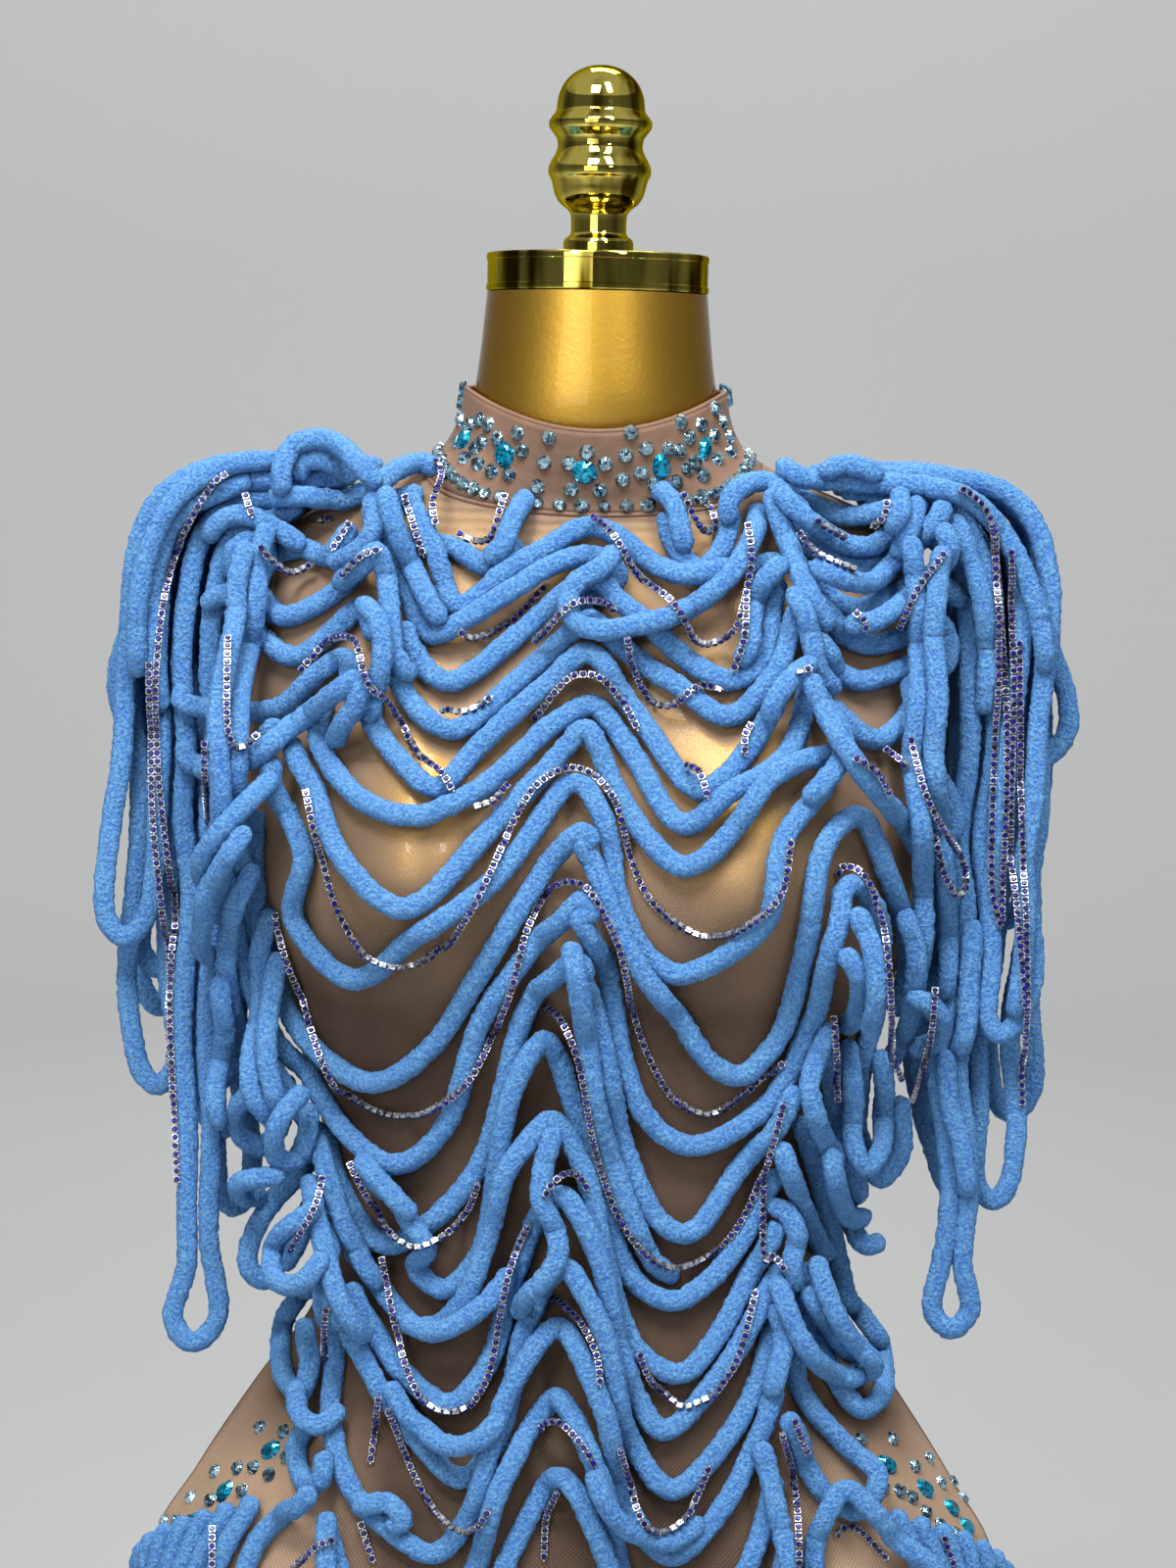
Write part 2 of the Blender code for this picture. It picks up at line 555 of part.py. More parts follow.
def place_on_dress(x, height, distance):
    """Where a cord's middle lies when it is seen here from the front, and the way off the cloth.

    Beyond the outline of the body the cord hangs free, a little in front of the side.
    """
    across, level = x, height
    for _ in range(8):
        reach = torso("half_width", level)
        across = clamp(across, -reach, reach)
        turn = math.asin(across / reach)
        point = off_body(turn, level, distance)
        across += x - point.x
        level = clamp(level + height - point.z, HEM_HEIGHT, HIGHEST_SEAT)
    outward = (point - body_point(turn, level)).normalized()
    free = min(1.0, abs(x - point.x) / HANGING_FADE)
    ahead = max(free, SIDE_LEAN * math.sin(turn) ** 4)
    outward = outward.lerp(Vector((0.0, -1.0, 0.0)), ahead).normalized()
    return Vector((x, point.y + (HANGING_DEPTH - point.y) * free, height)), outward


def lay_cord(points, laid):
    """A cord's middle line on the dress, lifted over every cord that was laid before it."""
    flat = [Vector((x / 1000, height / 1000, 0.0)) for x, height in points]
    placed = [place_on_dress(point.x, point.y, CORD_DISTANCE) for point in smooth_route(flat, LAYING_STEP)]
    base = np.array([point for point, _ in placed])
    outward = np.array([direction for _, direction in placed])
    need = np.zeros(len(base))
    if laid:
        others = np.array(laid)
        for i in range(len(base)):
            apart = base[i] - others
            level = apart @ outward[i]
            spare = level**2 - (apart**2).sum(axis=1) + CORD_SPACING**2
            root = np.sqrt(np.maximum(spare, 0.0))
            under = (spare > 0) & (-level - root < 4 * CORD_RADIUS)
            if under.any():
                need[i] = max(0.0, (root - level)[under].max())
    steps = np.linalg.norm(np.diff(base, axis=0), axis=1)
    along = np.concatenate([[0.0], np.cumsum(steps)])
    lift = (need[None, :] - LIFT_ROUNDNESS * (along[:, None] - along[None, :]) ** 2).max(axis=1)
    route = [Vector(point) for point in base + outward * np.maximum(lift, 0.0)[:, None]]
    laid.extend(tuple(point) for point in route)
    return route


def cord_curve(name, routes, tolerance):
    """Four-sided cords with closed ends along these routes."""
    curve = bpy.data.curves.new(name, "CURVE")
    curve.dimensions = "3D"
    curve.bevel_depth = CORD_RADIUS
    curve.bevel_resolution = 0
    curve.use_fill_caps = True
    for route in routes:
        points = thinned(route, tolerance)
        spline = curve.splines.new("POLY")
        spline.points.add(len(points) - 1)
        for target, point in zip(spline.points, points):
            target.co = (*point, 1.0)
    return curve


def add_cord(name, route, collection):
    curve = cord_curve(name, [route], CORD_TOLERANCE)
    curve.materials.append(material("blue_pile"))
    obj = bpy.data.objects.new(name, curve)
    collection.objects.link(obj)
    return obj


def fused_cords(obj, routes, cutters):
    """Joins cords to the backing that their roots lie in."""
    name = obj.name + "_guide"
    guide = bpy.data.objects.new(name, cord_curve(name, routes, FRINGE_TOLERANCE))
    cutters.objects.link(guide)
    mesh = bpy.data.meshes.new_from_object(guide.evaluated_get(bpy.context.evaluated_depsgraph_get()))
    bpy.data.objects.remove(guide)
    bm = bmesh.new()
    bm.from_mesh(mesh)
    bmesh.ops.remove_doubles(bm, verts=bm.verts, dist=1e-6)
    bm.to_mesh(mesh)
    bm.free()
    fuse(obj, mesh, cutters)


def fuse(obj, mesh, cutters):
    """Makes one body of an object and a mesh that overlaps it, and lets the mesh move with it."""
    helper = bpy.data.objects.new(obj.name + "_added", mesh)
    helper.parent = obj
    cutters.objects.link(helper)
    helper.hide_render = True
    helper.display_type = "WIRE"
    union = obj.modifiers.new("Join", "BOOLEAN")
    union.operation = "UNION"
    union.object = helper


def surface_of(obj):
    """Points along the edges of a finished object's triangles, and a tree of the triangles."""
    bpy.context.view_layer.update()
    made = obj.evaluated_get(bpy.context.evaluated_depsgraph_get())
    mesh = made.to_mesh()
    mesh.calc_loop_triangles()
    triangles = [tuple(triangle.vertices) for triangle in mesh.loop_triangles]
    corners = [obj.matrix_world @ vertex.co for vertex in mesh.vertices]
    tree = BVHTree.FromPolygons(corners, triangles)
    points = list(corners)
    sides = [pair for a, b, c in triangles for pair in ((a, b), (b, c), (c, a))]
    for low, high in sorted({tuple(sorted(pair)) for pair in sides}):
        start, end = corners[low], corners[high]
        count = math.ceil((end - start).length / SEWING_STEP)
        points.extend(start.lerp(end, i / count) for i in range(1, count))
    made.to_mesh_clear()
    return points, tree


def shortest_gap(points, tree, other_points, other_tree):
    """The step that would just bring one surface to the nearest point of another."""
    steps = []
    for mine, theirs, sign in ((points, other_tree, 1.0), (other_points, tree, -1.0)):
        for point in mine:
            there = theirs.find_nearest(point, SEWING_REACH)[0]
            if there is not None:
                steps.append((there - point) * sign)
    return min(steps, key=lambda step: step.length, default=None)


def sew_down(obj, seats):
    """Moves a finished piece the last millimetre to whatever it is nearest to."""
    points, tree = surface_of(obj)
    steps = [shortest_gap(points, tree, *seat) for seat in seats]
    steps = [step for step in steps if step is not None]
    move = Vector()
    if steps:
        step = min(steps, key=lambda step: step.length)
        move = step.normalized() * (step.length - SEWN_GAP)
    obj.location = move
    seats.append(surface_of(obj))
    return move


def shoulder_leg(side, plane, leg):
    """One leg of a hanging loop, from its root over the shoulder tip."""
    reach, root = SHOULDER_LEGS[leg]
    run = reach - SHOULDER_HEAD_X
    return [Vector((side * (SHOULDER_HEAD_X + run * out), plane, root - drop))
            for out, drop in SHOULDER_ARCH]


def shoulder_loop(side, loop):
    """A hairpin of cord: over the shoulder, down, round at its foot and back up."""
    plane = SHOULDER_PLANES[loop.plane]
    down = shoulder_leg(side, plane, 2 * loop.place)
    up = shoulder_leg(side, plane, 2 * loop.place + 1)[::-1]
    turn = (loop.outer - loop.inner) / 2
    low = plane * SHOULDER_FAN
    halfway = (plane + low) / 2
    bend = [(loop.inner, halfway, STRAIGHT_ABOVE_FOOT), (loop.inner, low, turn),
            (loop.inner + turn, low, 0.0), (loop.outer, low, turn),
            (loop.outer, halfway, STRAIGHT_ABOVE_FOOT)]
    foot = [Vector((side * x, depth, loop.foot + rise)) for x, depth, rise in bend]
    route = smooth_route(down + foot + up, ROUTE_STEP)
    armpit = SHOULDER_LEGS[0][1] - 0.020
    for point in route:
        if point.z < armpit:
            clear = torso("half_width", point.z) + CORD_DISTANCE
            point.x = side * max(side * point.x, clear)
    return route


def make_shoulder_fringe(name, side, loops, laid, collection, cutters):
    """A backing on the tip of the shoulder with loops of cord rooted in its outer face."""
    low = SHOULDER_LEGS[0][1] - SHOULDER_HEAD_MARGIN
    high = SHOULDER_LEGS[-1][1] + SHOULDER_HEAD_MARGIN
    near = SHOULDER_PLANES[0] - SHOULDER_HEAD_MARGIN
    far = SHOULDER_PLANES[-1] + SHOULDER_HEAD_MARGIN
    bm = bmesh.new()
    bmesh.ops.create_cube(bm, size=1.0)
    bmesh.ops.scale(bm, verts=bm.verts, vec=(SHOULDER_HEAD_THICKNESS, far - near, high - low))
    centre = (side * SHOULDER_HEAD_X, (near + far) / 2, (low + high) / 2)
    bmesh.ops.translate(bm, verts=bm.verts, vec=centre)
    obj = add_object(name, mesh_from(name, bm), "blue_pile", collection)
    routes = [shoulder_loop(side, loop) for loop in loops]
    fused_cords(obj, routes, cutters)
    for route in routes:
        laid.extend(tuple(point) for point in route)
    return obj


def make_hip_fringe(name, side, laid, collection, cutters):
    """A strip that slopes down and back over the hip, with short strands hung from it."""
    (start, top), (end, bottom) = HIP_STRIP
    under = CLOTH_FACE + HIP_STRIP_OFF_CLOTH
    middle = under + HIP_STRIP_THICKNESS + HIP_STRAND_OFF_STRIP

    def along(share):
        return side * (start + (end - start) * share), top + (bottom - top) * share

    rows = []
    for rise in (0.0, HIP_STRIP_WIDTH):
        places = [along(i / HIP_STRIP_COLUMNS) for i in range(HIP_STRIP_COLUMNS + 1)]
        row = [off_body(turn, height + rise, under) for turn, height in places]
        rows.append(row[::side])
    obj = cloth_wall(name, rows, HIP_STRIP_THICKNESS, collection, finish="blue_pile")
    routes = []
    for i in range(HIP_STRANDS):
        turn, height = along((i + 0.5) / HIP_STRANDS)
        drops = (HIP_STRAND_ROOT, 0.0, HIP_STRAND_LENGTH / 3, HIP_STRAND_LENGTH * 2 / 3, HIP_STRAND_LENGTH)
        points = [off_body(turn, height - drop, middle) for drop in drops]
        route = smooth_route(points, ROUTE_STEP)
        routes.append(route)
        laid.extend(tuple(point) for point in route)
    fused_cords(obj, routes, cutters)
    return obj


def make_cords(cloths, collection, cutters):
    laid = []
    fringes = [
        make_shoulder_fringe("shoulder_fringe_left", -1, LEFT_LOOPS, laid, collection, cutters),
        make_shoulder_fringe("shoulder_fringe_right", 1, RIGHT_LOOPS, laid, collection, cutters),
        make_hip_fringe("hip_fringe_left", -1, laid, collection, cutters),
        make_hip_fringe("hip_fringe_right", 1, laid, collection, cutters),
    ]
    seats = [surface_of(cloth) for cloth in cloths]
    for fringe in fringes:
        sew_down(fringe, seats)
    routes = dict(NECK_SWAGS)
    routes.update({f"front_swag_{i + 1:02d}": row for i, row in enumerate(FRONT_SWAGS)})
    routes.update(SHOULDER_SWAGS)
    routes.update(SIDE_LOOPS)
    for name, points in routes.items():
        first = len(laid)
        obj = add_cord(name, lay_cord(points, laid), collection)
        move = sew_down(obj, seats)
        laid[first:] = [tuple(Vector(point) + move) for point in laid[first:]]


def main():
    for old in list(bpy.data.objects):
        bpy.data.objects.remove(old)
    dress = bpy.data.collections.new("mesh_mini_dress_on_form")
    cutters = bpy.data.collections.new("cutters")
    bpy.context.scene.collection.children.link(dress)
    bpy.context.scene.collection.children.link(cutters)
    make_torso(dress)
    make_stand(dress)
    make_neck_top(dress)
    cloths = [*make_panels(dress, cutters), make_collar(dress, cutters)]
    make_cords(cloths, dress, cutters)


main()
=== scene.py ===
"""Looks of a sheer mini dress with draped pile cords, on a limbless gold dress form.

Everything is in metres in the frame's own space: +Z up, the dress faces -Y, and "left" is the
side at -X, on the left of someone who looks at the front.
"""

import math
from collections import namedtuple

import bmesh
import bpy
import numpy as np
from mathutils import Matrix, Quaternion, Vector, noise
from mathutils.bvhtree import BVHTree


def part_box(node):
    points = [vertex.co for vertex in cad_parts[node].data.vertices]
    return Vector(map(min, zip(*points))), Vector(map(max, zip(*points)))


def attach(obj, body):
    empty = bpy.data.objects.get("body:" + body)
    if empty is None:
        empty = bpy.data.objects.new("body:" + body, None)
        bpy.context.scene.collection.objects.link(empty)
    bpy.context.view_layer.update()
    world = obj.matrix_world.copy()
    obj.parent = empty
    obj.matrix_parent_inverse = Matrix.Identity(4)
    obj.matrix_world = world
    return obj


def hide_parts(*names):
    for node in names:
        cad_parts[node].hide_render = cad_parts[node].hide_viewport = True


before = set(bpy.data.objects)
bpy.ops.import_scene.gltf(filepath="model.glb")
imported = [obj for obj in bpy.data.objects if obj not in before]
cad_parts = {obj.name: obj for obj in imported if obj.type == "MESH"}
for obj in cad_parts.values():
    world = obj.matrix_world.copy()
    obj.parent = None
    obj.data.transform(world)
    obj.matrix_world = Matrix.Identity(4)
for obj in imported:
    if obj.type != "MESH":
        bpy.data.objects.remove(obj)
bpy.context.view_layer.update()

# The camera
# It stands 1.6 m in front of the form, level with the collar, with a portrait lens that looks down a
# little. The frame is turned by a degree, so that the form leans slightly to the right.
CAMERA_PLACE = Vector((0.004, -1.600, 0.930))
CAMERA_TARGET = Vector((0.0, 0.0, 0.756))
CAMERA_TURN = math.radians(1.1)
CAMERA_LENS = 78.7
CAMERA_SENSOR = 36.0

camera = bpy.data.objects.new("camera", bpy.data.cameras.new("camera"))
camera.data.lens = CAMERA_LENS
camera.data.sensor_width = CAMERA_SENSOR
camera.location = CAMERA_PLACE
camera.rotation_mode = "QUATERNION"
camera.rotation_quaternion = ((CAMERA_TARGET - CAMERA_PLACE).to_track_quat("-Z", "Y")
                              @ Quaternion((0.0, 0.0, 1.0), CAMERA_TURN))
bpy.context.scene.collection.objects.link(camera)
bpy.context.scene.camera = camera


# The studio
# A pale painted floor that curves up into a round wall, greyer at the sides. Soft panels overhead give
# most of the light, with one in front, two small ones for glints, and one turned to the wall.
FLOOR_RADIUS = 3.6
FLOOR_DROP = 0.0005
COVE_RADIUS = 1.2
WALL_TOP = 3.4
WALL_COLOUR = (0.54, 0.545, 0.54, 1.0)
WALL_SHADE = (0.25, 0.252, 0.25, 1.0)
WALL_PALE_BEHIND = (2.0, 4.2)
WALL_MOTTLE = 1.5
COVE_STEPS = 16
FLOOR_PALE_BELOW = (0.9, 0.1)
Panel = namedtuple("Panel", "place aim width height power")
PANELS = [
    Panel((-0.35, -1.10, 2.15), (0.0, -0.05, 0.80), 0.55, 0.55, 35.0),
    Panel((0.45, -0.90, 2.20), (0.0, -0.05, 0.80), 0.30, 0.70, 22.0),
    Panel((0.10, 0.75, 2.30), (0.0, 0.0, 0.90), 0.80, 0.50, 14.0),
    Panel((-0.85, -2.35, 0.95), (0.0, 0.0, 0.60), 1.30, 1.30, 12.0),
    Panel((-0.66, -1.50, 1.35), (0.0, 0.0, 0.95), 0.24, 0.17, 4.2),
    Panel((0.70, -1.50, 1.36), (0.0, 0.0, 0.95), 0.20, 0.17, 3.6),
    Panel((0.0, 1.80, 2.80), (0.0, 4.80, 1.70), 2.40, 0.80, 60.0),
]
WORLD_COLOUR = (0.93, 0.96, 1.0, 1.0)
WORLD_STRENGTH = 0.43
WELD = 0.00002
TURNED_CREASE = math.radians(40)


class Sum:
    """A shader socket that Python's signs work on: each sign adds its Math node."""

    def __init__(self, finish, socket):
        self.finish, self.socket = finish, socket

    def maths(self, operation, *values):
        return self.finish.add("ShaderNodeMath", {"operation": operation}, dict(enumerate(values)))

    def __add__(self, other):
        return self.maths("ADD", self, other)

    def __sub__(self, other):
        return self.maths("SUBTRACT", self, other)

    def __rsub__(self, other):
        return self.maths("SUBTRACT", other, self)

    def __mul__(self, other):
        return self.maths("MULTIPLY", self, other)

    def cosine(self):
        return self.maths("COSINE", self)

    def size(self):
        return self.maths("ABSOLUTE", self)

    def or_more(self, other):
        return self.maths("MAXIMUM", self, other)


class Finish:
    """A material whose nodes are written as sums and calls."""

    def __init__(self, name, values):
        self.material = bpy.data.materials.new(name)
        self.material.use_nodes = True
        self.tree = self.material.node_tree
        self.surface = self.tree.nodes["Principled BSDF"]
        self.give(self.surface, values)

    def give(self, node, values):
        for key, value in values.items():
            if isinstance(value, Sum):
                self.tree.links.new(value.socket, node.inputs[key])
            else:
                node.inputs[key].default_value = value

    def add(self, kind, settings, values, output=0):
        node = self.tree.nodes.new(kind)
        for key, value in settings.items():
            setattr(node, key, value)
        self.give(node, values)
        return Sum(self, node.outputs[output])

    def place(self):
        return self.add("ShaderNodeTexCoord", {}, {}, output="Object")

    def axes(self, where):
        """The three numbers of a place."""
        return [self.add("ShaderNodeSeparateXYZ", {}, {"Vector": where}, output=i) for i in range(3)]

    def grain(self, scale, detail=2.0, where=None):
        """Noise with this many grains to the metre, about 0.5 at its middle."""
        values = {"Vector": where or self.place(), "Scale": scale, "Detail": detail}
        return self.add("ShaderNodeTexNoise", {}, values)

    def spread(self, value, low, high):
        """Stretches a value so that low becomes 0 and high becomes 1."""
        return self.add("ShaderNodeMapRange", {}, {0: value, 1: low, 2: high})

    def blend(self, mask, first, second):
        return self.add("ShaderNodeMix", {"data_type": "RGBA"}, {0: mask, 6: first, 7: second}, output=2)

    def bump(self, height, depth, strength=1.0):
        values = {"Height": height, "Distance": depth, "Strength": strength}
        return self.add("ShaderNodeBump", {}, values)

    def finish(self, **values):
        self.give(self.surface, {key.replace("_", " "): value for key, value in values.items()})


def colour(red, green, blue):
    """A colour as it is seen, from 0 to 255 a channel, made linear."""
    return (*((value / 255) ** 2.2 for value in (red, green, blue)), 1.0)


def object_from(name, bm, *finishes):
    """A new object at the origin with a bmesh's shape."""
    mesh = bpy.data.meshes.new(name)
    bm.to_mesh(mesh)
    bm.free()
    for finish in finishes:
        mesh.materials.append(finish)
    obj = bpy.data.objects.new(name, mesh)
    bpy.context.scene.collection.objects.link(obj)
    return obj


def turned(name, profile, finish, steps=64):
    """A solid of revolution about +Z from (radius, height) points, listed from the top down."""
    bm = bmesh.new()
    verts = [bm.verts.new((radius, 0.0, height)) for radius, height in profile]
    edges = [bm.edges.new(pair) for pair in zip(verts, verts[1:])]
    bmesh.ops.spin(bm, geom=verts + edges, cent=(0, 0, 0), axis=(0, 0, 1), angle=2 * math.pi,
                   steps=steps, use_merge=True)
    bmesh.ops.remove_doubles(bm, verts=bm.verts, dist=WELD)
    bmesh.ops.recalc_face_normals(bm, faces=bm.faces)
    obj = object_from(name, bm, finish)
    obj.data.shade_smooth()
    obj.data.set_sharp_from_angle(angle=TURNED_CREASE)
    return obj


def arc(centre, radius, start, end, count):
    """Points of a round edge in a turned outline, from one angle to another in degrees."""
    turns = [math.radians(start + (end - start) * i / count) for i in range(count + 1)]
    return [(centre[0] + radius * math.cos(turn), centre[1] + radius * math.sin(turn)) for turn in turns]


wall_paint = Finish("pale_studio_paint", {})
mottle = wall_paint.grain(WALL_MOTTLE, 3.0)
x, y, z = wall_paint.axes(wall_paint.place())
pale = wall_paint.spread(y, *WALL_PALE_BEHIND) + wall_paint.spread(z, *FLOOR_PALE_BELOW)
wall_paint.finish(Base_Color=wall_paint.blend(pale, WALL_SHADE, WALL_COLOUR),
                  Roughness=mottle * 0.1 + 0.85)
cove = arc((FLOOR_RADIUS, COVE_RADIUS), COVE_RADIUS + FLOOR_DROP, -90, 0, COVE_STEPS)
outline = [(0.0, -FLOOR_DROP), (FLOOR_RADIUS, -FLOOR_DROP), *cove[1:],
           (FLOOR_RADIUS + COVE_RADIUS, WALL_TOP)]
studio = turned("studio", outline, wall_paint.material, steps=96)

for i, panel in enumerate(PANELS):
    lamp = bpy.data.lights.new(f"panel_{i}", "AREA")
    lamp.shape = "RECTANGLE"
    lamp.size, lamp.size_y = panel.width, panel.height
    lamp.energy = panel.power
    holder = bpy.data.objects.new(f"panel_{i}", lamp)
    holder.location = panel.place
    holder.rotation_euler = (Vector(panel.aim) - Vector(panel.place)).to_track_quat("-Z", "Y").to_euler()
    bpy.context.scene.collection.objects.link(holder)

world = bpy.data.worlds.new("studio_air")
world.use_nodes = True
world.node_tree.nodes["Background"].inputs["Color"].default_value = WORLD_COLOUR
world.node_tree.nodes["Background"].inputs["Strength"].default_value = WORLD_STRENGTH
bpy.context.scene.world = world
bpy.context.scene.view_settings.view_transform = "Standard"


# The dress form
# A moulded shell of a body with no arms or legs, sprayed in warm gold under a clear coat. The
# sections are level cuts, and everything that is worn on the form is placed by its distance from it.
Section = namedtuple("Section", "height half_width front back centre fullness")
TORSO = [
    Section(0.150, 0.150, 0.090, 0.098, 0.006, 0.16),
    Section(0.200, 0.172, 0.098, 0.110, 0.006, 0.16),
    Section(0.260, 0.188, 0.104, 0.122, 0.006, 0.16),
    Section(0.330, 0.1985, 0.106, 0.130, 0.005, 0.16),
    Section(0.384, 0.1985, 0.103, 0.124, 0.003, 0.16),
    Section(0.422, 0.1785, 0.096, 0.110, 0.002, 0.16),
    Section(0.468, 0.1490, 0.087, 0.092, 0.001, 0.16),
    Section(0.505, 0.1230, 0.080, 0.080, 0.000, 0.16),
    Section(0.540, 0.1145, 0.076, 0.073, 0.000, 0.16),
    Section(0.594, 0.1205, 0.079, 0.076, 0.002, 0.18),
    Section(0.640, 0.1345, 0.087, 0.083, 0.004, 0.20),
    Section(0.690, 0.1500, 0.092, 0.090, 0.006, 0.22),
    Section(0.753, 0.1630, 0.088, 0.093, 0.010, 0.24),
    Section(0.800, 0.1620, 0.080, 0.088, 0.012, 0.24),
    Section(0.840, 0.1600, 0.070, 0.076, 0.013, 0.20),
    Section(0.862, 0.1540, 0.061, 0.065, 0.013, 0.12),
    Section(0.878, 0.1370, 0.054, 0.058, 0.012, 0.06),
    Section(0.890, 0.1100, 0.051, 0.054, 0.010, 0.02),
    Section(0.900, 0.0850, 0.051, 0.052, 0.007, 0.00),
    Section(0.912, 0.0665, 0.052, 0.052, 0.004, 0.00),
    Section(0.928, 0.0585, 0.0525, 0.0525, 0.001, 0.00),
    Section(0.950, 0.0545, 0.0520, 0.0520, 0.000, 0.00),
    Section(0.984, 0.0510, 0.0510, 0.0510, 0.000, 0.00),
]
BUST_APART = 0.080
BUST_HEIGHT = 0.728
BUST_RISE = 0.036
BUST_REACH = 0.050
BUST_REACH_UP = 0.066
BUST_REACH_DOWN = 0.042
BUST_FADE = 2.5
FORM_EASE = 0.0018
FORM_FOOT_ROUNDING = 0.006
FORM_FOOT_TUCK = 0.9
NECK_EASE_TOP = 0.935
NECK_EASE_FADE = 0.020
FORM_COLUMNS = 112
FORM_ROWS = 190
FORM_CREASE = math.radians(50)
GOLD_FLAKES = 2600
GOLD_CLOUDS = 9
GOLD_GRAIN = 420
GOLD_GRAIN_DEPTH = 0.00010
GOLD_PAINT = colour(202, 160, 66)
GOLD_PAINT_DEEP = colour(160, 118, 40)
GOLD_EDGE = colour(50, 34, 8)


def steady_slopes(places, values):
    """Slopes that carry a smooth curve through the values with no overshoot."""
    steps = np.diff(places)
    rises = np.diff(values) / steps
    before, after = rises[:-1], rises[1:]
    near, far = 2 * steps[1:] + steps[:-1], steps[1:] + 2 * steps[:-1]
    level = before * after <= 0
    safe = np.where(level, 1.0, before), np.where(level, 1.0, after)
    inner = np.where(level, 0.0, (near + far) / (near / safe[0] + far / safe[1]))
    return np.concatenate([rises[:1], inner, rises[-1:]])


HEIGHTS = np.array([row.height for row in TORSO])
COLUMNS = {name: np.array([getattr(row, name) for row in TORSO]) for name in Section._fields[1:]}
SLOPES = {name: steady_slopes(HEIGHTS, values) for name, values in COLUMNS.items()}


def torso(column, height):
    """One column of the torso's sections, read at any heights."""
    height = np.clip(height, HEIGHTS[0], HEIGHTS[-1])
    i = np.minimum(np.searchsorted(HEIGHTS, height, side="right") - 1, len(HEIGHTS) - 2)
    span = HEIGHTS[i + 1] - HEIGHTS[i]
    t = (height - HEIGHTS[i]) / span
    values, slopes = COLUMNS[column], SLOPES[column]
    low = values[i] * (1 + 2 * t) * (1 - t) ** 2 + slopes[i] * span * t * (1 - t) ** 2
    high = values[i + 1] * t * t * (3 - 2 * t) + slopes[i + 1] * span * t * t * (t - 1)
    return low + high


def body_points(turn, height):
    """Points of the torso: turn 0 is the centre front and a quarter turn is the +X side."""
    side, facing = np.sin(turn), np.cos(turn)
    x = torso("half_width", height) * side
    depth = np.where(facing > 0, torso("front", height), torso("back", height))
    y = torso("centre", height) - depth * facing * (1 + torso("fullness", height) * side * side)
    reach = np.where(height > BUST_HEIGHT, BUST_REACH_UP, BUST_REACH_DOWN)
    across, up = (abs(x) - BUST_APART) / BUST_REACH, (height - BUST_HEIGHT) / reach
    y -= BUST_RISE * np.exp(-across * across - up * up) * np.clip(BUST_FADE * facing, 0.0, 1.0)
    return np.stack([x, y, height], axis=-1)


def off_body(turn, height, distance):
    """Points that stand a distance off the torso, square to its surface."""
    turn, height = np.broadcast_arrays(np.asarray(turn, float), np.asarray(height, float))
    step, lift = 0.002, 0.0004
    across = body_points(turn + step, height) - body_points(turn - step, height)
    up = body_points(turn, height + lift) - body_points(turn, height - lift)
    outward = np.cross(across, up)
    outward /= np.linalg.norm(outward, axis=-1, keepdims=True)
    return body_points(turn, height) + outward * np.asarray(distance)[..., None]


def sheet_from(columns, rows, place):
    """A grid of points, each put where place says for arrays of shares across and up."""
    bm = bmesh.new()
    bm.loops.layers.uv.new("UVMap")
    bmesh.ops.create_grid(bm, x_segments=columns, y_segments=rows, size=0.5, calc_uvs=True)
    flat = np.array([vert.co for vert in bm.verts])
    for vert, point in zip(bm.verts, place(flat[:, 0] + 0.5, flat[:, 1] + 0.5)):
        vert.co = point
    return bm


def scale_uv(bm, width, height):
    """Gives the grid's map its size in metres."""
    layer = bm.loops.layers.uv.active
    for face in bm.faces:
        for loop in face.loops:
            loop[layer].uv = (loop[layer].uv.x * width, loop[layer].uv.y * height)


def form_place(across, up):
    """The form's own surface: just inside the torso where it is dressed, and rounded at its foot."""
    low, high = HEIGHTS[0], HEIGHTS[-1]
    height = low + (high - low) * up
    foot = np.clip((height - low) / FORM_FOOT_ROUNDING, 0.0, 1.0)
    tuck = FORM_EASE + FORM_FOOT_ROUNDING * (1 - np.sqrt(1 - (1 - foot) ** 2)) * FORM_FOOT_TUCK
    fading = np.clip((NECK_EASE_TOP - height) / NECK_EASE_FADE, 0.0, 1.0)
    tuck = np.where(height > NECK_EASE_TOP - NECK_EASE_FADE, FORM_EASE * fading, tuck)
    points = off_body(2 * math.pi * across, height, -tuck)
    points[:, 2] = height
    return points


gold_paint = Finish("gold_paint", {"Metallic": 1.0, "Coat Weight": 0.80, "Coat Roughness": 0.05,
                                   "Coat IOR": 1.35, "Specular Tint": GOLD_EDGE})
flakes = gold_paint.spread(gold_paint.grain(GOLD_FLAKES, 1.0), 0.35, 0.65)
cloud = gold_paint.spread(gold_paint.grain(GOLD_CLOUDS, 2.0), 0.3, 0.7)
gold_paint.finish(
    Base_Color=gold_paint.blend(flakes * 0.35 + cloud * 0.25, GOLD_PAINT, GOLD_PAINT_DEEP),
    Roughness=flakes * 0.08 + 0.41,
    Normal=gold_paint.bump(gold_paint.grain(GOLD_GRAIN, 2.0), GOLD_GRAIN_DEPTH))

bm = sheet_from(FORM_COLUMNS, FORM_ROWS, form_place)
bmesh.ops.remove_doubles(bm, verts=bm.verts, dist=WELD)
bmesh.ops.holes_fill(bm, edges=[edge for edge in bm.edges if edge.is_boundary], sides=0)
bmesh.ops.recalc_face_normals(bm, faces=bm.faces)
form = object_from("gold_form", bm, gold_paint.material)
form.data.shade_smooth()
form.data.set_sharp_from_angle(angle=FORM_CREASE)
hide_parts("form_torso")
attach(form, "root")


